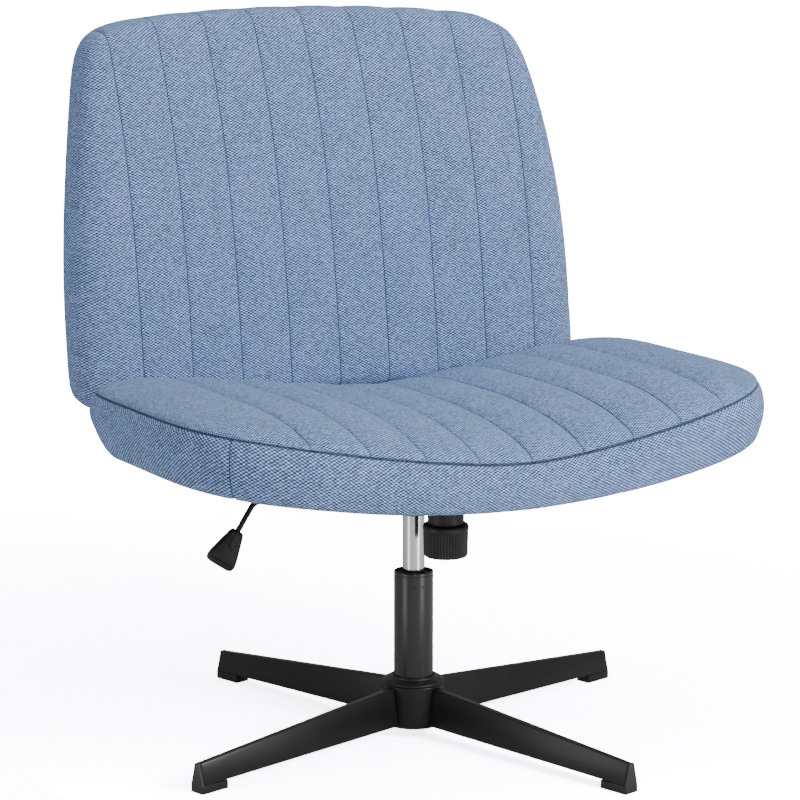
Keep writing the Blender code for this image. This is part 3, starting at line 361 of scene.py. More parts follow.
# ---------------------------------------------------------------- cloth skins
class Skin:
    """A closed surface of cloth patches that share their edges, with cloth coordinates at each corner."""

    def __init__(self):
        self.points = np.zeros((0, 3))
        self.quads = []
        self.cloth = []
        self.sewn = []
        self.groove = np.zeros(0)
        self.held = np.zeros(0, bool)

    def add_points(self, points, groove, held):
        """Store points and return their numbers, in the shape given."""
        first = len(self.points)
        flat = np.reshape(points, (-1, 3))
        self.points = np.vstack([self.points, flat])
        self.groove = np.concatenate([self.groove, np.broadcast_to(groove, points.shape[:-1]).ravel()])
        self.held = np.concatenate([self.held, np.broadcast_to(held, points.shape[:-1]).ravel()])
        return np.arange(first, first + len(flat)).reshape(points.shape[:-1])

    def patch(self, numbers, cloth=None, sewn=None, flip=False):
        """Cover a grid of point numbers with quads, each corner with its cloth coordinates."""
        cloth = np.zeros(numbers.shape + (2,)) if cloth is None else cloth
        sewn = np.full(numbers.shape, UNSEWN) if sewn is None else sewn
        near, far = slice(None, -1), slice(1, None)
        corners = [(near, near), (far, near), (far, far), (near, far)]
        if flip:
            corners.reverse()
        self.quads.append(np.stack([numbers[c] for c in corners], -1).reshape(-1, 4))
        self.cloth.append(np.stack([cloth[c] for c in corners], -2).reshape(-1, 4, 2))
        self.sewn.append(np.stack([sewn[c] for c in corners], -1).reshape(-1, 4))

    def band(self, loops, cloth=None, sewn=None):
        """Cover the strip through loops of point numbers, once round."""
        self.patch(np.stack([closed(loop) for loop in loops], 1), cloth, sewn, flip=True)

    def mesh(self, name):
        """The skin as a mesh, with its cloth coordinates and its distance from stitching as attributes."""
        quads = np.concatenate(self.quads)
        made = bpy.data.meshes.new(name)
        made.from_pydata(self.points.tolist(), [], quads.tolist())
        cloth = made.attributes.new("cloth", "FLOAT_VECTOR", "CORNER")
        values = np.zeros((len(quads) * 4, 3), np.float32)
        values[:, :2] = np.concatenate(self.cloth).reshape(-1, 2)
        cloth.data.foreach_set("vector", values.ravel())
        sewn = made.attributes.new("sewn", "FLOAT", "CORNER")
        sewn.data.foreach_set("value", np.concatenate(self.sewn).ravel().astype(np.float32))
        made.update()
        return made

    def normals(self):
        """Each point's normal."""
        mesh = self.mesh("normals")
        out = vectors_of(mesh.vertices, "normal")
        bpy.data.meshes.remove(mesh)
        return out

    def grow(self, name, cap):
        """Swell the skin, press its channels and seams in, and make it a piece."""
        self.points += swell(self, name + "_swelling", cap)
        self.points -= self.normals() * self.groove[:, None]
        cover = new_object(name + "_upholstery", self.mesh(name + "_upholstery"), DENIM)
        place(cover, "seat", "blue_fabric", name + "_cushion")


def vectors_of(vertices, attribute):
    """A vector attribute of every vertex, as rows of an array."""
    out = np.zeros(len(vertices) * 3, np.float32)
    vertices.foreach_get(attribute, out)
    return out.reshape(-1, 3).astype(float)


def line_columns(pitch, reach):
    """Places across a panel, close together at each stitched line, out to its last straight column."""
    places = {0.0}
    for k in range(LAST_LINE + 1):
        for offset in (0.0, *LINE_OFFSETS):
            places.update((k * pitch + offset, k * pitch - offset))
    places.update((k + 0.5) * pitch for k in range(LAST_LINE))
    positive = sorted(place for place in places if 0 <= place <= reach - 0.0005)
    positive.append(reach)
    return np.array([-place for place in positive[:0:-1]] + positive)


def side_steps(count):
    """Steps from the last straight column to the side edge, closest together at the edge."""
    return np.sin(np.arange(1, count + 1) / count * math.pi / 2)


def panel_grid(columns, low_corner, high_corner, low_edge, high_edge, side, rows=119):
    """A panel as a grid of (x, y): straight columns, then columns that bow out to its rounded sides."""
    reach = columns[-1]
    steps = side_steps(20)
    low_side, high_side = (reach + (corner[0] - reach) * steps for corner in (low_corner, high_corner))
    low_x = np.concatenate([low_side[::-1], np.abs(columns), low_side])
    high_x = np.concatenate([high_side[::-1], np.abs(columns), high_side])
    low_y, high_y = low_edge(low_x), high_edge(high_x)
    low_y[[0, -1]], high_y[[0, -1]] = low_corner[1], high_corner[1]
    v = np.sin(np.linspace(-0.5, 0.5, rows) * math.pi) / 2 + 0.5
    y = low_y[:, None] + (high_y - low_y)[:, None] * v[None]
    side_x = side(low_corner[1] + (high_corner[1] - low_corner[1]) * v)
    side_x[[0, -1]] = low_corner[0], high_corner[0]
    bulge = side_x - (low_corner[0] + (high_corner[0] - low_corner[0]) * v)
    bow = np.concatenate([steps[::-1], np.zeros(len(columns)), steps]) ** 2
    sign = np.concatenate([-np.ones(20), np.sign(columns), np.ones(20)])
    x = low_x[:, None] + (high_x - low_x)[:, None] * v[None] + bow[:, None] * bulge[None]
    return x * sign[:, None], y


def nearest_line(x, pitch):
    """Distance to the nearest stitched line."""
    number = np.clip(np.round(x / pitch), -LAST_LINE, LAST_LINE)
    return np.abs(x - number * pitch)


def edge_distance(points, outline):
    """Each 2-D point's distance to a closed outline, and the direction to its nearest place on it."""
    start = outline
    along = np.roll(outline, -1, 0) - outline
    length2 = (along ** 2).sum(1)
    distance = np.zeros(len(points))
    toward = np.zeros((len(points), 2))
    for first in range(0, len(points), 2000):
        part = points[first:first + 2000]
        gap = part[:, None] - start[None]
        where = np.clip((gap * along[None]).sum(2) / length2[None], 0, 1)
        gap = start[None] + where[..., None] * along[None] - part[:, None]
        square = (gap ** 2).sum(2)
        best = square.argmin(1)
        rows = np.arange(len(part))
        distance[first:first + 2000] = np.sqrt(square[rows, best])
        toward[first:first + 2000] = gap[rows, best]
    toward /= np.maximum(np.linalg.norm(toward, axis=1), 1e-9)[:, None]
    return distance, toward


def loop_of(grid):
    """The numbers or points round the edge of a grid, once round."""
    return np.concatenate([grid[:-1, 0], grid[-1, :-1], grid[:0:-1, -1], grid[0, :0:-1]])


def outward(outline):
    """Outward direction at each point of a closed outline that runs counter-clockwise."""
    along = np.roll(outline, -1, 0) - np.roll(outline, 1, 0)
    along /= np.linalg.norm(along, axis=1)[:, None]
    return np.stack([along[:, 1], -along[:, 0]], 1)


def arc_length(outline):
    """Length along a closed outline at each of its points and back at the first."""
    steps = np.linalg.norm(np.roll(outline, -1, 0) - outline, axis=1)
    return np.concatenate([[0], np.cumsum(steps)])


def closed(values):
    """A loop's values with the first one repeated at the end."""
    return np.concatenate([values, values[:1]])


def finder_of(points):
    """A search tree over points."""
    finder = KDTree(len(points))
    for index, point in enumerate(points):
        finder.insert(point, index)
    finder.balance()
    return finder


def swell(skin, name, cap):
    """Blow the skin up by cloth simulation, held at its stitched lines: how far each of its points moves."""
    pad = bpy.data.objects.new(name, skin.mesh(name))
    bpy.context.scene.collection.objects.link(pad)
    bpy.context.view_layer.objects.active = pad
    remesh = pad.modifiers.new("remesh", "REMESH")
    remesh.mode = "VOXEL"
    remesh.voxel_size = SIM_VOXEL
    bpy.ops.object.modifier_apply(modifier=remesh.name)
    rest = vectors_of(pad.data.vertices, "co")
    finder = finder_of(skin.points)
    held = [i for i, point in enumerate(rest) if skin.held[finder.find(point)[1]]]
    pad.vertex_groups.new(name="held").add(held, 1.0, "REPLACE")
    cloth = pad.modifiers.new("cloth", "CLOTH")
    settings = cloth.settings
    settings.use_pressure = True
    settings.uniform_pressure_force = SIM_PRESSURE
    settings.vertex_group_mass = "held"
    settings.effector_weights.gravity = 0.0
    settings.quality = 5
    settings.tension_stiffness = SIM_STIFFNESS
    settings.compression_stiffness = SIM_STIFFNESS
    settings.bending_stiffness = SIM_BENDING
    cloth.point_cache.frame_start = 1
    cloth.point_cache.frame_end = SIM_FRAMES
    for number in range(1, SIM_FRAMES + 1):
        bpy.context.scene.frame_set(number)
    blown = pad.evaluated_get(bpy.context.evaluated_depsgraph_get())
    moved = vectors_of(blown.data.vertices, "co") - rest
    bpy.context.scene.frame_set(1)
    far = np.linalg.norm(moved, axis=1)
    moved *= (cap * np.tanh(far / cap) / np.maximum(far, 1e-9))[:, None]
    finder = finder_of(rest)
    out = np.zeros_like(skin.points)
    for index, point in enumerate(skin.points):
        near = finder.find_n(point, 6)
        weights = np.array([1 / (entry[2] ** 2 + SIM_VOXEL ** 2 / 16) for entry in near])
        out[index] = (moved[[entry[1] for entry in near]] * weights[:, None]).sum(0) / weights.sum()
    bpy.data.objects.remove(pad, do_unlink=True)
    print(name, "simulated", len(rest), "points; moved up to", round(far.max() * 1000, 1), "mm")
    return out


# ---------------------------------------------------------------- seat
BORDER_BULGE = 0.007
BORDER_ROUNDING = 0.0115        # radius of the border's lower edge
BORDER_HEIGHT = 0.0575          # at the middle of the front
BORDER_GROWTH = 0.0096          # how much higher the border is at the sides
BORDER_END = 0.0040             # what it gains towards the seat's ends
BORDER_REAR = 0.0495            # its height at the rear, where the back's brackets pass under it
SEAT_SQUARENESS = (5.3, 4.2)    # of the rear and the front corners
SEAT_REACH = 0.298              # half width of the part with straight columns
SADDLE_RISE = 0.0678
SADDLE_POWER = 1.32
SADDLE_LEVEL = 0.15
SADDLE_SAG = 0.0063
BOARD_FLAT = 0.0075             # level of the board's flat middle on the saddle curve
COVER_INSET = 0.0205            # from the outline to the edge of the board and its covers
LIP_INSET = COVER_INSET - 0.0006
CHANNEL_WIDTH = 0.013
CREASE_WIDTH = 0.0016
SEAM_WIDTH = 0.0020
SEAM_DEPTH = 0.0024
SEAT_CHANNEL = (0.0046, 0.0021)  # depth of a channel's dip and of its crease
BACK_CHANNEL = (0.0016, 0.0014)
SEAT_FRONT_SHARE = 0.250 / 0.4565
CROWN = 0.047                   # how much higher than the seam the top's middle is
CROWN_REACH = 0.24              # distance from the outline to the level top

SEAT_LOW, SEAT_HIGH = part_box("seat_cushion")
SEAT_HALF = SEAT_HIGH.x - BORDER_BULGE
SEAT_DEPTH = SEAT_HIGH.y - SEAT_LOW.y - 2 * BORDER_BULGE
SEAT_FRONT = SEAT_DEPTH * SEAT_FRONT_SHARE
SEAT_REAR = SEAT_DEPTH - SEAT_FRONT
SEAT_Y = SEAT_LOW.y + BORDER_BULGE + SEAT_FRONT
SEAM_Z = SEAT_LOW.z + BORDER_HEIGHT
BOARD_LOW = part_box("seat_board")[0]


def saddle(x):
    """How far the seam has risen at a distance from the seat's middle."""
    level = SADDLE_LEVEL ** SADDLE_POWER
    across = np.asarray(x) / SEAT_HALF
    spread = np.hypot(across, SADDLE_LEVEL)
    return SADDLE_RISE * (spread ** SADDLE_POWER - level) - SADDLE_SAG * across ** 6


def border_height(x, y):
    """The border strip's height: more at the sides, less at the rear."""
    height = BORDER_HEIGHT + BORDER_GROWTH * smoothstep(0.0, 0.6, np.abs(x) / SEAT_HALF)
    height = height + BORDER_END * smoothstep(0.5, 0.9, np.abs(x) / SEAT_HALF)
    return height + (BORDER_REAR - height) * smoothstep(0.03, 0.11, y)


def seat_side(y):
    """Half width of the seat's plan."""
    rear = y > SEAT_Y
    part = np.abs(y - SEAT_Y) / np.where(rear, SEAT_REAR, SEAT_FRONT)
    power = np.where(rear, *SEAT_SQUARENESS)
    return SEAT_HALF * (1 - np.clip(part, 0, 1) ** power) ** (1 / power)


def seat_end(x, rear):
    """Where the seat's plan ends at the rear or the front."""
    power = SEAT_SQUARENESS[0 if rear else 1]
    reach = (1 - np.clip(np.abs(x) / SEAT_HALF, 0, 1) ** power) ** (1 / power)
    return SEAT_Y + (SEAT_REAR if rear else -SEAT_FRONT) * reach


def seat_grid():
    """The seat's plan as a grid, with each point's share of the way from the middle to the outline."""
    rear_share, front_share = (2 ** (-1 / power) for power in SEAT_SQUARENESS)
    x, y = panel_grid(line_columns(SEAT_PITCH, SEAT_REACH),
                      (SEAT_HALF * front_share, SEAT_Y - SEAT_FRONT * front_share),
                      (SEAT_HALF * rear_share, SEAT_Y + SEAT_REAR * rear_share),
                      lambda x: seat_end(x, False), lambda x: seat_end(x, True), seat_side)
    power = np.where(y > SEAT_Y, *SEAT_SQUARENESS)
    deep = np.abs(y - SEAT_Y) / np.where(y > SEAT_Y, SEAT_REAR, SEAT_FRONT)
    rho = ((np.abs(x) / SEAT_HALF) ** power + deep ** power) ** (1 / power)
    return x, y, np.clip(rho, 0, 1)


def crown(share):
    """The top's rise, at a share of the way from the middle to the outline."""
    return CROWN * (1 - share ** 2.25) ** 0.55


def slack(distance, reach, drop):
    """Cloth that a curve along reach and drop takes beyond its plan, between a distance and the middle."""
    extra = np.cumsum(np.hypot(np.diff(reach), np.diff(drop)) - np.diff(reach))
    extra = np.concatenate([[0], extra])
    return np.interp(distance, reach, extra[-1] - extra)


def plan_of(x, y):
    """A grid's plan, its outline, and each point's distance and direction to the outline."""
    plan = np.stack([x, y], -1)
    outline = np.stack([loop_of(x), loop_of(y)], 1)
    distance, toward = edge_distance(plan.reshape(-1, 2), outline)
    return plan, outline, distance.reshape(x.shape), toward.reshape(plan.shape)


def make_seat_cover():
    """Top panel with its channels, border strip, and the cloth turned under the board."""
    skin = Skin()
    x, y, share = seat_grid()
    plan, outline, distance, toward = plan_of(x, y)
    line = nearest_line(x, SEAT_PITCH)
    fade = 0.55 + 0.45 * smoothstep(0.0, 0.030, distance)
    shallow = 1 - 0.75 * smoothstep(0.06, 0.13, y)
    groove = channel_profile(line, *SEAT_CHANNEL) * fade * shallow + seam_profile(distance)
    held = (line < HELD_HALF_WIDTH) | (distance < 0.006)
    numbers = skin.add_points(np.stack([x, y, SEAM_Z + saddle(x) + crown(share)], -1), groove, held)
    reach = np.linspace(0, CROWN_REACH, 241)
    extra = slack(distance, reach, crown(np.clip(1 - reach / CROWN_REACH, 0, 1)))
    skin.patch(numbers, plan + toward * extra[..., None], np.minimum(line, distance))

    normal = outward(outline)
    around = arc_length(outline)
    join = np.abs(around[:-1, None] - border_joins(outline, around)[None]).min(1)
    seam = SEAM_Z + saddle(outline[:, 0])
    tall = border_height(outline[:, 0], outline[:, 1])
    shares, outs, lengths = border_rows()
    loops = [loop_of(numbers)]
    for share, out, deep in zip(shares, outs, seam_profile(lengths)):
        ring = np.column_stack([outline + normal * out, seam - share * tall])
        loops.append(skin.add_points(ring, deep + channel_profile(join, 0.0, 0.0016), share < 0.1))
    lengths = np.concatenate([[0.0], lengths])
    cloth = np.stack(np.broadcast_arrays(around[:, None], lengths[None]), -1)
    skin.band(loops, cloth, np.minimum(lengths[None], closed(join)[:, None]))

    under = [loops[-1]]
    for inset in (0.013, 0.0165, LIP_INSET):
        ring = np.column_stack([outline - normal * inset, seam - tall])
        under.append(skin.add_points(ring, 0.0, True))
    turned = lengths[-1] + np.array([0, 0.003, 0.0065, 0.0105])
    skin.band(under, np.stack(np.broadcast_arrays(around[:, None], turned[None]), -1))

    shrink = 1 - LIP_INSET / SEAT_HALF
    inside = np.stack([x * shrink, (y - SEAT_Y) * shrink + SEAT_Y, ceiling_height(x * shrink)], -1)
    ceiling = skin.add_points(inside, 0.0, True)
    skin.band([under[-1], loop_of(ceiling)])
    skin.patch(ceiling, plan, flip=True)
    skin.grow("seat", SEAT_SWELLING)
    return skin, numbers


def board_rise(x):
    """The board's level: flat in the middle, then with the saddle."""
    return (saddle(x) ** 4 + BOARD_FLAT ** 4) ** 0.25


def ceiling_height(x):
    """The recess above the board."""
    return BOARD_LOW.z - BOARD_FLAT + 0.0132 + board_rise(x)


def border_joins(outline, around):
    """Where the border strip's two ends meet, near the front corner, and its second join opposite."""
    first = np.linalg.norm(outline - np.array([-0.367, -0.230]), axis=1).argmin()
    second = np.linalg.norm(outline - np.array([0.367, 0.130]), axis=1).argmin()
    return around[[first, second]]


def border_rows():
    """The border strip's rows: share of its height, outward bulge, and length along the cloth."""
    turn = BORDER_ROUNDING / BORDER_HEIGHT
    shares = [0.012, 0.031, 0.06, 0.10, 0.16, 0.24, 0.34, 0.44, 0.54, 0.63, 0.71]
    outs = [BORDER_BULGE * math.sin(math.pi * min(1.0, share / 0.84)) ** 0.8 for share in shares]
    for k in range(1, 9):
        angle = math.pi / 2 * k / 8
        shares.append(1 - turn * (1 - math.sin(angle)))
        outs.append(0.0012 - BORDER_ROUNDING * (1 - math.cos(angle)))
    path = np.column_stack([np.concatenate([[0], shares]) * BORDER_HEIGHT, np.concatenate([[0], outs])])
    return np.array(shares), np.array(outs), np.cumsum(np.linalg.norm(np.diff(path, axis=0), axis=1))


def channel_profile(distance, broad, sharp):
    """Depth of a stitched channel: a wide dip with a crease at the stitching."""
    return broad * np.exp(-(distance / CHANNEL_WIDTH) ** 1.5) + sharp * np.exp(-distance / CREASE_WIDTH)


def seam_profile(distance):
    """Depth of a sewn seam, where both panels turn in to the stitching."""
    return SEAM_DEPTH * np.exp(-distance / SEAM_WIDTH)


# ---------------------------------------------------------------- back
BACK_LOW, BACK_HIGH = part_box("back_cushion")
BACK_HALF = BACK_HIGH.x
BACK_Z = 0.420
BACK_Y = 0.190
BACK_TOP = BACK_HIGH.z - BACK_Z
BACK_BOTTOM = BACK_LOW.z - BACK_Z
BACK_HOLLOW = 0.2134            # curvature that brings the sides forward
BACK_ROLL = 4.75                # curvature that rolls the outer edges back again
BACK_ROLL_START = 0.285
BACK_TAPER = 0.356
BACK_TAPER_START = 0.081        # height above which the back narrows
BACK_ARCH = 0.18                # curvature of the top edge
BACK_SQUARENESS = (12.5, 22.0)  # of the upper and the lower corners
BACK_DEPTH = 0.0645
BACK_MIDDLE = (BACK_TOP + BACK_BOTTOM) / 2
EDGE_IN = 0.0224                # the front face starts to turn back this far inside its outline
EDGE_BACK = 0.0191
EDGE_REAR = 0.046               # depth at which the edge starts to turn in to the rear
REAR_COVER_FRONT = 0.0625


def back_front(x, h):
    """The front face: leaning more towards the top, hollow across, its outer edges rolled back."""
    rolled = BACK_ROLL * np.maximum(0.0, np.abs(x) - BACK_ROLL_START) ** 2
    return BACK_Y + 0.0975 * h + 0.025 * h * h + 0.548 * h ** 3 - BACK_HOLLOW * x * x + rolled


def back_side(h):
    """Half the back's width, before its corners are rounded."""
    return BACK_HALF - BACK_TAPER * np.maximum(0.0, h - BACK_TAPER_START) ** 2


def back_end(x, top):
    """Height of the top or bottom edge at a distance from the middle, corners included."""
    power = BACK_SQUARENESS[0 if top else 1]
    limit = BACK_TOP - BACK_ARCH * x * x if top else np.full_like(x, BACK_BOTTOM)
    h = limit
    for _ in range(6):
        part = np.clip(np.abs(x) / back_side(h), 0, 1) ** power
        h = BACK_MIDDLE + (limit - BACK_MIDDLE) * (1 - part) ** (1 / power)
    return h


def back_edge(h):
    """Half width at a height, corners included."""
    power = np.where(h > BACK_MIDDLE, *BACK_SQUARENESS)
    x = back_side(h)
    for _ in range(6):
        limit = np.where(h > BACK_MIDDLE, BACK_TOP - BACK_ARCH * x * x, BACK_BOTTOM)
        part = np.clip(np.abs((h - BACK_MIDDLE) / (limit - BACK_MIDDLE)), 0, 1) ** power
        x = back_side(h) * (1 - part) ** (1 / power)
    return x


def corner_of(top):
    """Where the rounded corner is half way round: its x and its height."""
    share = 2 ** (-1 / BACK_SQUARENESS[0 if top else 1])
    x = BACK_HALF * share
    for _ in range(12):
        limit = BACK_TOP - BACK_ARCH * x * x if top else BACK_BOTTOM
        h = BACK_MIDDLE + (limit - BACK_MIDDLE) * share
        x = float(back_side(h)) * share
    return x, h


def back_grid():
    """The back's outline as a grid of (x, height above BACK_Z)."""
    columns = line_columns(BACK_PITCH, LAST_LINE * BACK_PITCH + 0.004)
    return panel_grid(columns, corner_of(False), corner_of(True), lambda x: back_end(x, False),
                      lambda x: back_end(x, True), back_edge, 121)


def shrunk(x, h, inset):
    """Points of the back's plan, drawn in from its outline."""
    upright = 1 - inset / (BACK_TOP - BACK_MIDDLE)
    return x * (1 - inset / BACK_HALF), BACK_MIDDLE + (h - BACK_MIDDLE) * upright


def back_point(x, h, depth):
    """A point of the back, at a depth behind its front face."""
    return np.stack([x, back_front(x, h) + depth, BACK_Z + h], -1)


def make_back_cover():
    """Front panel with its channels, wrapped over the edges to the rear rim."""
    skin = Skin()
    x, h = back_grid()
    plan, outline, distance, toward = plan_of(x, h)

    def drop(reach):
        return EDGE_BACK * (1 - np.sqrt(1 - np.clip(1 - reach / EDGE_IN, 0, 1) ** 2))

    line = nearest_line(x, BACK_PITCH)
    points = back_point(x, h, drop(distance))
    numbers = skin.add_points(points, channel_profile(line, *BACK_CHANNEL), line < HELD_HALF_WIDTH)
    reach = np.linspace(0, EDGE_IN, 61)
    front_cloth = plan + toward * slack(distance, reach, drop(reach))[..., None]
    skin.patch(numbers, front_cloth, line)

    normal = outward(outline)
    edge_cloth = np.stack([loop_of(front_cloth[..., 0]), loop_of(front_cloth[..., 1])], 1)
    edge_line = nearest_line(outline[:, 0], BACK_PITCH)
    upper = np.abs(normal[:, 1]) > 0.7
    front = back_front(outline[:, 0], outline[:, 1])
    # how far out of the outline, and how deep behind the front face
    rows = [(0.0016 * math.sin(math.pi * k / 6), EDGE_BACK + (EDGE_REAR - EDGE_BACK) * k / 6)
            for k in range(1, 7)]
    for k in range(1, 9):
        turn = math.pi / 2 * k / 8
        rows.append((-0.0105 * (1 - math.cos(turn)), EDGE_REAR + (BACK_DEPTH - EDGE_REAR) * math.sin(turn)))
    loops = [loop_of(numbers)]
    for out, deep in rows:
        spread = outline + normal * out
        fade = 1 - smoothstep(0.040, 0.052, deep)
        groove = np.where(upper, channel_profile(edge_line, *BACK_CHANNEL) * fade, 0.0)
        ring = np.stack([spread[:, 0], front + deep, BACK_Z + spread[:, 1]], -1)
        loops.append(skin.add_points(ring, groove, deep > 0.05))
    steps = np.diff([(0.0, EDGE_BACK), *rows], axis=0)
    lengths = np.concatenate([[0.0], np.cumsum(np.hypot(*steps.T))])
    sewn = np.where(closed(upper), closed(edge_line), UNSEWN)[:, None]
    sewn = sewn + UNSEWN * smoothstep(0.020, 0.030, lengths)[None]
    flat = closed(edge_cloth)[:, None], closed(normal)[:, None]
    skin.band(loops, flat[0] + flat[1] * lengths[None, :, None], sewn)

    under = [loops[-1]]
    for inset in (0.0145, LIP_INSET):
        drawn = outline - normal * inset
        ring = np.stack([drawn[:, 0], front + BACK_DEPTH, BACK_Z + drawn[:, 1]], -1)
        under.append(skin.add_points(ring, 0.0, True))
    turned = lengths[-1] + np.array([0, 0.003, 0.0085])
    skin.band(under, flat[0] + flat[1] * turned[None, :, None])

    inner = skin.add_points(back_point(*shrunk(x, h, LIP_INSET), 0.0508), 0.0, True)
    skin.band([under[-1], loop_of(inner)])
    skin.patch(inner, plan, flip=True)
    skin.grow("back", BACK_SWELLING)
    return skin, numbers


seat_skin, seat_numbers = make_seat_cover()
back_skin, back_numbers = make_back_cover()


# ---------------------------------------------------------------- covers under the seat and behind the back
def lay_sheet(cover, slot, node):
    """Attach a cover that is stretched over a board to the seat, and hide the imported node that it stands
    for.
    """
    place(cover, "seat", slot, node)


def make_rear_cover():
    """The fabric panel that closes the back. Taut, it bridges the hollows where the board rolls back."""
    skin = Skin()
    x, h = shrunk(*back_grid(), COVER_INSET)
    distance = plan_of(x, h)[2]
    turned = 0.0009 * (1 - np.clip(distance / 0.004, 0, 1)) ** 2
    bridge = 0.0044 * smoothstep(0.23, 0.285, np.abs(x)) * (1 - smoothstep(0.325, 0.357, np.abs(x)))
    cloth = np.stack([-x, h], -1)
    front = skin.add_points(back_point(x, h, REAR_COVER_FRONT + bridge), 0.0, True)
    rear = skin.add_points(back_point(x, h, BACK_DEPTH - turned + bridge), 0.0, True)
    skin.patch(front, cloth)
    skin.patch(rear, cloth, flip=True)
    skin.band([loop_of(front), loop_of(rear)])
    cover = new_object("rear_panel_cover", skin.mesh("rear_panel_cover"), DENIM)
    lay_sheet(cover, "blue_fabric", "rear_cover")


def make_dust_cover():
    """Black cloth stapled under the seat board, with a round hole for the tension spring's sleeve."""
    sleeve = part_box("spring_sleeve")
    hole = np.array([0.0, (sleeve[0].y + sleeve[1].y) / 2 - 0.003])
    x, y, _ = seat_grid()
    outline = np.stack([loop_of(x), loop_of(y) - SEAT_Y], 1) * (1 - COVER_INSET / SEAT_HALF)
    outline += np.array([0, SEAT_Y])
    way = outline - hole
    angle = np.arctan2(way[:, 1], way[:, 0])
    order = np.argsort(angle)
    outline, angle = outline[order], angle[order]
    rim = hole + 0.0176 * np.stack([np.cos(angle), np.sin(angle)], 1)
    plan = rim + (outline - rim) * np.linspace(0, 1, 40)[:, None, None]
    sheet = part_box("dust_cover")[0].z - BOARD_FLAT + board_rise(plan[..., 0])
    bm = bmesh.new()
    layers = [[[bm.verts.new((*point, z + lift)) for point, z in zip(ring, heights)]
               for ring, heights in zip(plan, sheet)] for lift in (0.0, 0.0011)]
    span(bm, layers[0] + layers[1][::-1] + layers[0][:1])
    cover = new_object("seat_dust_cover", mesh_from(bm, "seat_dust_cover"), FELT, 40)
    lay_sheet(cover, "black_cover", "dust_cover")


make_rear_cover()
make_dust_cover()


# ---------------------------------------------------------------- stitching
def make_stitches(name, lines):
    """Short thread stitches along lines of (points, normals), sunk a little into the cloth."""
    bm = bmesh.new()
    # share of the length from the middle, and share of the radius
    shape = ((-0.5, 0.0), (-0.42, 0.75), (-0.2, 1.0), (0.2, 1.0), (0.42, 0.75), (0.5, 0.0))
    for points, normals in lines:
        steps = np.linalg.norm(np.diff(points, axis=0), axis=1)
        along = np.concatenate([[0], np.cumsum(steps)])

        def at_length(values, length):
            return np.array([np.interp(length, along, values[:, k]) for k in range(3)])

        for middle in np.arange(STITCH_PITCH / 2, along[-1] - STITCH_PITCH / 2, STITCH_PITCH):
            first, last = (at_length(points, middle + part * STITCH_LENGTH) for part in (-0.5, 0.5))
            up = at_length(normals, middle)
            up /= np.linalg.norm(up)
            axis = last - first
            side = np.cross(up, axis)
            side /= np.linalg.norm(side)
            rings = []
            for part, wide in shape:
                at = (first + last) / 2 + axis * part - up * (0.0003 + 0.0006 * (2 * part) ** 2)
                reach = STITCH_RADIUS * wide
                turns = [math.tau * k / 6 for k in range(6 if wide else 1)]
                rings.append([bm.verts.new(at + reach * (math.cos(a) * side + math.sin(a) * up))
                              for a in turns])
            for near, far in zip(rings, rings[1:]):
                for k in range(6):
                    corners = [near[k % len(near)], near[(k + 1) % len(near)],
                               far[(k + 1) % len(far)], far[k % len(far)]]
                    bm.faces.new(list(dict.fromkeys(corners)))
    place(new_object(name, mesh_from(bm, name), THREAD), "seat", "blue_fabric")


def stitch(name, skin, numbers, pitch, x, ends, seam):
    """Stitches down every channel of a skin, and round its seam if it has one."""
    normals = skin.normals()
    rows = [int(np.abs(x - k * pitch).argmin()) for k in range(-LAST_LINE, LAST_LINE + 1)]
    lines = [numbers[row, ends] for row in rows] + seam
    make_stitches(name, [(skin.points[line], normals[line]) for line in lines])


stitch("seat_stitching", seat_skin, seat_numbers, SEAT_PITCH, seat_grid()[0][:, 59], slice(2, -2),
       [closed(loop_of(seat_numbers))])
stitch("back_stitching", back_skin, back_numbers, BACK_PITCH, back_grid()[0][:, 60], slice(None), [])


# ---------------------------------------------------------------- hard pieces
PLAY = 0.0003                   # between a turned piece and what it slides on
SHARP_EDGE = 38                 # degrees
BEVELLED_EDGE = 22              # degrees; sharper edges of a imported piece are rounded
KNOB_RIBS = 44
RIB_DEPTH = 0.0011
LEVER_BEND_RADIUS = 0.014
LEVER_SLOPE = math.radians(56.0)
LEVER_END = 0.048
GRIP_START = 0.0325


def soften(node, body, slot, width, segments):
    """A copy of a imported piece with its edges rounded."""
    bm = bmesh.new()
    bm.from_mesh(frame["nodes"][node].data)
    bmesh.ops.remove_doubles(bm, verts=bm.verts, dist=1e-5)
    bmesh.ops.dissolve_limit(bm, angle_limit=math.radians(0.6), verts=bm.verts, edges=bm.edges)
    sharp = math.radians(BEVELLED_EDGE)
    edges = [edge for edge in bm.edges if len(edge.link_faces) == 2 and edge.calc_face_angle(0) > sharp]
    bmesh.ops.bevel(bm, geom=edges, offset=width, offset_type="OFFSET", segments=segments, profile=0.5,
                    affect="EDGES", clamp_overlap=True)
    bmesh.ops.triangulate(bm, faces=[face for face in bm.faces if len(face.verts) > 4])
    piece = new_object("fine_" + node, mesh_from(bm, node), SLOT_MATERIALS[slot], 34)
    return place(piece, body, slot, node)


def turned(node, body, slot, outline, radius=0.0006, steps=96, at=(0, 0)):
    """A turned piece from a closed outline of (radius, height), with rounded corners."""
    bm = bmesh.new()
    turns = [math.tau * i / steps for i in range(steps)]
    rows = [[bm.verts.new((reach * math.cos(a), reach * math.sin(a), height)) for a in turns]
            for reach, height in rounded(outline, radius)]
    span(bm, rows + rows[:1])
    bmesh.ops.transform(bm, matrix=Matrix.Translation((*at, 0)), verts=bm.verts)
    piece = new_object("fine_" + node, mesh_from(bm, "fine_" + node), SLOT_MATERIALS[slot], SHARP_EDGE)
    return place(piece, body, slot, node)


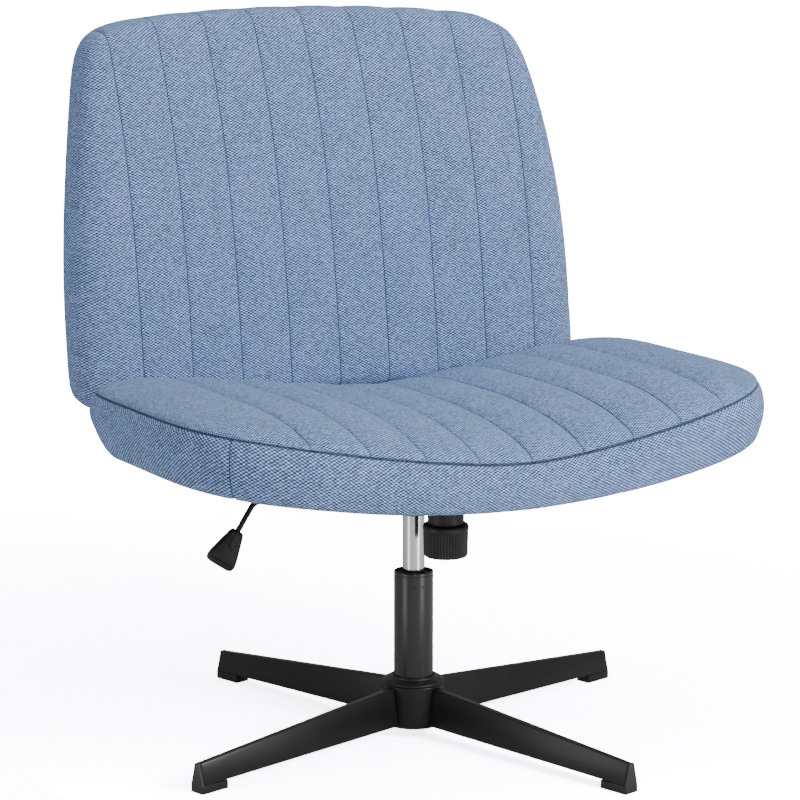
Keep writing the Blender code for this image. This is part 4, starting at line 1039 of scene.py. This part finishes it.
def make_base():
    """Legs and feet with folded edges, the hub, its collar and the outer tube."""
    for number in range(1, 5):
        soften(f"leg_{number}", "base", "black_steel", 0.0010, 3)
        soften(f"foot_{number}", "base", "black_plastic", 0.0008, 2)
    low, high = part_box("hub")
    collar_low, collar_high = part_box("hub_collar")
    tube_low, tube_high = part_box("column_tube")
    bore = tube_high.x + PLAY
    turned("hub", "base", "black_steel", [
        (bore, low.z, 0), (high.x - 0.004, low.z, 0.002), (high.x, low.z + 0.004, 0.002),
        (high.x, high.z - 0.0012, 0.0012), (high.x - 0.0014, high.z, 0.0012), (bore, high.z, 0)])
    turned("hub_collar", "base", "black_plastic", [
        (bore, collar_low.z, 0), (collar_high.x, collar_low.z, 0.0003),
        (collar_high.x, collar_low.z + 0.0020, 0.0012),
        (collar_high.x - 0.0040, collar_low.z + 0.0051, 0.006), (0.0288, collar_high.z - 0.0022, 0.004),
        (0.0288, collar_high.z, 0.0006), (bore, collar_high.z, 0.0004)])
    outer, inner = tube_high.x, tube_high.x - 0.0018
    groove = tube_high.z - 0.0045
    piece = turned("column_tube", "base", "black_tube", [
        (0.006, tube_low.z, 0), (outer, tube_low.z, 0.0005), (outer, groove - 0.0004, 0.0003),
        (outer - 0.0004, groove, 0.0002), (outer - 0.0004, groove + 0.0010, 0.0002),
        (outer, groove + 0.0014, 0.0003), (outer, tube_high.z, 0.0009), (inner, tube_high.z, 0.0004),
        (inner, tube_low.z + 0.003, 0.0003), (0.006, tube_low.z + 0.003, 0)], steps=128)
    for turn in (-28.0, -2.0):
        dent(piece, math.radians(turn + CAMERA_AZIMUTH), outer, tube_high.z - 0.0172)
    low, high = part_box("guide_bush")
    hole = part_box("lift_cylinder")[1].x + PLAY
    turned("guide_bush", "base", "black_plastic", [
        (hole, low.z, 0), (high.x, low.z, 0), (high.x, high.z - 0.0012, 0.0005),
        (high.x - 0.0015, high.z, 0.0005), (high.x - 0.0032, high.z, 0.0004),
        (high.x - 0.0040, high.z - 0.0016, 0.0006), (hole + 0.0016, high.z - 0.0016, 0.0006),
        (hole + 0.0010, high.z, 0.0004), (hole, high.z, 0.0003)], 0.0004)


def dent(piece, angle, radius, height):
    """Press a small dimple into the outer tube, at an angle clockwise from the front."""
    bm = bmesh.new()
    bmesh.ops.create_uvsphere(bm, u_segments=24, v_segments=12, radius=1.0)
    way = Vector((-math.sin(angle), -math.cos(angle), 0))
    across = Vector((way.y, -way.x, 0))
    turn = Matrix((across * 0.0026, way * 0.0011, Vector((0, 0, 0.0012)))).transposed().to_4x4()
    turn.translation = way * (radius + 0.0003) + Vector((0, 0, height))
    bmesh.ops.transform(bm, matrix=turn, verts=bm.verts)
    cutter = new_object("dent", mesh_from(bm, "dent"), TUBE_PAINT)
    bpy.context.view_layer.objects.active = piece
    difference = piece.modifiers.new("carve", "BOOLEAN")
    difference.operation = "DIFFERENCE"
    difference.object = cutter
    bpy.ops.object.modifier_apply(modifier=difference.name)
    bpy.data.objects.remove(cutter, do_unlink=True)
    piece.data.set_sharp_from_angle(angle=math.radians(SHARP_EDGE))


def make_lift():
    """The chromed cylinder and the socket that it is pressed into."""
    low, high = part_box("lift_cylinder")
    turned("lift_cylinder", "lift", "chrome", [
        (0.0055, low.z, 0), (high.x, low.z, 0.0010), (high.x, high.z - 0.0300, 0.004),
        (high.x - 0.0008, high.z - 0.0020, 0.0006), (high.x - 0.0015, high.z, 0.0006),
        (0.0043, high.z, 0.0003), (0.0043, high.z - 0.006, 0.0003), (0.0055, high.z - 0.040, 0.001)])
    low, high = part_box("taper_socket")
    turned("taper_socket", "lift", "black_steel", [
        (0.0143, low.z, 0.0003), (high.x - 0.0015, low.z, 0.0005), (high.x, low.z + 0.0015, 0.0006),
        (high.x, high.z, 0.0002), (0.0143, high.z, 0)])


def make_mechanism():
    """Housing, plate, brackets and every bolt, with rounded edges."""
    soften("tilt_housing", "lift", "black_steel", 0.0009, 2)
    soften("seat_plate", "seat", "black_steel", 0.0009, 2)
    for side in ("left", "right"):
        soften(f"back_bracket_{side}", "seat", "black_steel", 0.0011, 3)
        for kind in ("seat", "back"):
            for number in (1, 2):
                soften(f"back_bracket_{side}_{kind}_bolt_{number}", "seat", "zinc_steel", 0.0005, 2)
    for number in range(1, 5):
        soften(f"seat_bolt_{number}", "seat", "zinc_steel", 0.0005, 2)


def make_tension():
    """Spring sleeve and the ribbed knob under it."""
    low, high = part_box("spring_sleeve")
    middle = (low.y + high.y) / 2
    outer = high.x
    turned("spring_sleeve", "lift", "black_plastic", [
        (outer - 0.0018, low.z, 0.0003), (outer, low.z, 0.0005), (outer, high.z, 0.0006),
        (0.0062, high.z, 0), (0.0062, high.z - 0.0018, 0), (outer - 0.0018, high.z - 0.0018, 0.0005)],
        at=(0, middle))
    low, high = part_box("tension_knob")
    outer = high.x
    # radius, height, share of the rib depth
    profile = [
        (0.0098, low.z + 0.0102, 0), (0.0098, low.z + 0.0027, 0), (0.0100, low.z + 0.0027, 0),
        (outer - 0.0062, low.z + 0.0008, 0), (outer - 0.0046, low.z, 0), (outer - 0.0034, low.z + 0.0001, 0),
        (outer - 0.0022, low.z + 0.0010, 0.1), (outer - 0.0014, low.z + 0.0024, 0.7),
        (outer - 0.0011, low.z + 0.0040, 1.0), (outer - 0.0005, high.z - 0.0090, 1.0),
        (outer - 0.0004, high.z - 0.0080, 0.5), (outer - 0.0004, high.z - 0.0074, 0),
        (outer, high.z - 0.0062, 0), (outer, high.z - 0.0030, 0), (outer - 0.0008, high.z - 0.0010, 0),
        (outer - 0.0020, high.z, 0), (outer - 0.0042, high.z, 0), (outer - 0.0048, high.z - 0.0006, 0),
        (0.0237, low.z + 0.0102, 0)]
    bm = bmesh.new()
    rows = [[] for _ in profile]
    for i in range(KNOB_RIBS * 8):
        angle = math.tau * i / (KNOB_RIBS * 8)
        for row, (radius, height, depth) in zip(rows, profile):
            reach = radius - RIB_DEPTH * depth * (0.5 - 0.5 * math.cos(KNOB_RIBS * angle)) ** 2
            row.append(bm.verts.new((reach * math.cos(angle), middle + reach * math.sin(angle), height)))
    span(bm, rows + rows[:1])
    knob = new_object("ribbed_knob", mesh_from(bm, "ribbed_knob"), PLASTIC, 40)
    place(knob, "knob", "black_plastic", "tension_knob")


def make_lever():
    """The bent rod and its paddle grip with a sunk face."""
    low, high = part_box("lever_rod")
    radius = high.y
    level = high.z - radius
    tip = low.x + radius * math.sin(LEVER_SLOPE)
    bend = tip + LEVER_END * math.cos(LEVER_SLOPE) + LEVER_BEND_RADIUS * math.sin(LEVER_SLOPE)
    path = [(high.x, 0, level), (high.x - 0.001, 0, level), (0, 0, level), (bend + 0.002, 0, level)]
    for k in range(13):
        turn = LEVER_SLOPE * k / 12
        path.append((bend - LEVER_BEND_RADIUS * math.sin(turn), 0,
                     level - LEVER_BEND_RADIUS * (1 - math.cos(turn))))
    along = Vector((-math.cos(LEVER_SLOPE), 0, -math.sin(LEVER_SLOPE)))
    corner = Vector(path[-1])
    path.append(tuple(corner + along * (LEVER_END - 0.001)))
    path.append(tuple(corner + along * LEVER_END))
    place(tube("fine_lever_rod", path, radius, POWDER), "lever", "black_steel", "lever_rod")

    thick = Vector((0, 1, 0))
    across = along.cross(thick)
    start = corner + along * GRIP_START
    # distance along the grip, half its width, half its thickness
    stations = np.array([
        (0.0000, 0.0062, 0.0042), (0.0004, 0.0071, 0.0050), (0.0014, 0.0081, 0.0057),
        (0.0040, 0.0094, 0.0063), (0.0100, 0.0114, 0.0068), (0.0220, 0.0152, 0.0074),
        (0.0340, 0.0188, 0.0076), (0.0400, 0.0202, 0.0073), (0.0435, 0.0202, 0.0066),
        (0.0462, 0.0192, 0.0055), (0.0480, 0.0170, 0.0042), (0.0489, 0.0132, 0.0026)])
    slope = 0.0016                  # width of the slope round the sunk face, and its depth
    rings = []
    for spot in np.unique(np.concatenate([stations[:, 0], np.linspace(0.002, 0.0480, 50)])):
        wide, deep = (np.interp(spot, stations[:, 0], stations[:, k]) for k in (1, 2))
        ring = []
        for i in range(120):
            angle = math.tau * (i + 0.5) / 120
            u, w = (size * math.copysign(abs(turn) ** 0.62, turn)
                    for size, turn in ((wide, math.cos(angle)), (deep, math.sin(angle))))
            inside = min((wide - abs(u)) / slope - 1.2, (spot - 0.007) / slope, (0.0440 - spot) / slope)
            sleeve = min((0.0042 - abs(u)) / 0.0010, (0.0250 - spot) / slope)
            sunk = slope * float(smoothstep(0, 1, inside) * (1 - smoothstep(0, 1, sleeve)))
            w -= math.copysign(sunk, w) if abs(w) > deep * 0.7 else 0.0
            ring.append(start + along * spot + across * u + thick * w)
        rings.append(ring)
    grip = loft("fine_lever_grip", rings, PLASTIC, 40)
    place(grip, "lever", "black_plastic", "lever_grip")


make_base()
make_lift()
make_mechanism()
make_tension()
make_lever()

for part in frame["record"]["subparts"]:
    node = frame["nodes"][part["node"]]
    node.data.materials.clear()
    node.data.materials.append(SLOT_MATERIALS[part["material_slot"]])


# ---------------------------------------------------------------- stage
def make_stage():
    """A wide white floor. The camera sees it brighter than the object does, and brighter still far away."""
    bm = bmesh.new()
    bmesh.ops.create_grid(bm, x_segments=1, y_segments=1, size=60.0)
    made = bpy.data.materials.new("studio_floor")
    made.use_nodes = True
    tree = made.node_tree
    tree.nodes.remove(tree.nodes["Principled BSDF"])
    where = add(tree, "TexCoord").outputs["Object"]
    shade = noise(tree, where, 2.0, 2.0)
    plain = mix(tree, shade, rgb(0.60, 0.60, 0.61), rgb(0.64, 0.64, 0.65))
    bright = mix(tree, shade, rgb(11.0, 10.4, 13.0), rgb(11.3, 10.7, 13.3))
    seen = add(tree, "LightPath").outputs["Is Camera Ray"]
    matte = add(tree, "BsdfDiffuse", {"Color": mix(tree, seen, plain, bright)})
    reach = add(tree, "VectorMath", {0: where}, operation="LENGTH").outputs["Value"]
    far = scaled(tree, step(tree, 0.5, 2.4, reach), 10.0, 3.0)
    glow = add(tree, "Emission", {"Strength": calc(tree, "MULTIPLY", seen, far)})
    both = add(tree, "AddShader", {0: matte.outputs[0], 1: glow.outputs[0]})
    tree.links.new(both.outputs[0], tree.nodes["Material Output"].inputs["Surface"])
    new_object("studio_floor", mesh_from(bm, "studio_floor"), made)


def area_light(name, position, target, power, width, height):
    """A soft box that faces a point."""
    data = bpy.data.lights.new(name, "AREA")
    data.shape = "RECTANGLE"
    data.size = width
    data.size_y = height
    data.energy = power
    made = bpy.data.objects.new(name, data)
    bpy.context.scene.collection.objects.link(made)
    made.location = position
    made.rotation_euler = (Vector(target) - Vector(position)).to_track_quat("-Z", "Y").to_euler()
    made.visible_camera = False


def make_lights():
    """Soft boxes high in front and at both sides, two low strips for the column's gloss, and a pale sky."""
    world = bpy.data.worlds.new("studio")
    bpy.context.scene.world = world
    world.use_nodes = True
    tree = world.node_tree
    back = tree.nodes["Background"]
    back.inputs["Color"].default_value = rgb(1.0, 1.0, 1.0)
    seen = add(tree, "LightPath").outputs["Is Camera Ray"]
    tree.links.new(scaled(tree, seen, 12.0, 0.36), back.inputs["Strength"])
    chair, column = (0, 0, 0.45), (0, 0, 0.12)
    area_light("key", (1.3, -2.9, 2.0), chair, 125, 0.9, 1.6)
    area_light("fill", (-3.1, 0.2, 1.3), chair, 23, 0.7, 2.2)
    area_light("front", (-1.2, -3.3, 0.9), chair, 14, 0.35, 1.4)
    area_light("top", (0.3, 0.3, 3.0), chair, 26, 2.4, 2.4)
    area_light("right_strip", (0.18, -0.47, 0.12), column, 0.28, 0.19, 0.20)
    area_light("left_strip", (-0.49, -0.095, 0.12), column, 0.20, 0.19, 0.20)


def make_camera():
    """The camera, level, looking past the swivel axis."""
    turn, rise = math.radians(CAMERA_AZIMUTH), math.radians(CAMERA_ELEVATION)
    right = Vector((math.cos(turn), -math.sin(turn), 0))
    back = Vector((-math.sin(turn) * math.cos(rise), -math.cos(turn) * math.cos(rise), math.sin(rise)))
    data = bpy.data.cameras.new("camera")
    data.lens = CAMERA_LENS
    data.sensor_width = 36.0
    data.clip_end = 200.0
    made = bpy.data.objects.new("camera", data)
    bpy.context.scene.collection.objects.link(made)
    made.matrix_world = Matrix((right, back.cross(right), back)).transposed().to_4x4()
    made.location = right * CAMERA_AIM[0] + Vector((0, 0, CAMERA_AIM[1])) + back * CAMERA_DISTANCE
    bpy.context.scene.camera = made


make_stage()
make_lights()
make_camera()
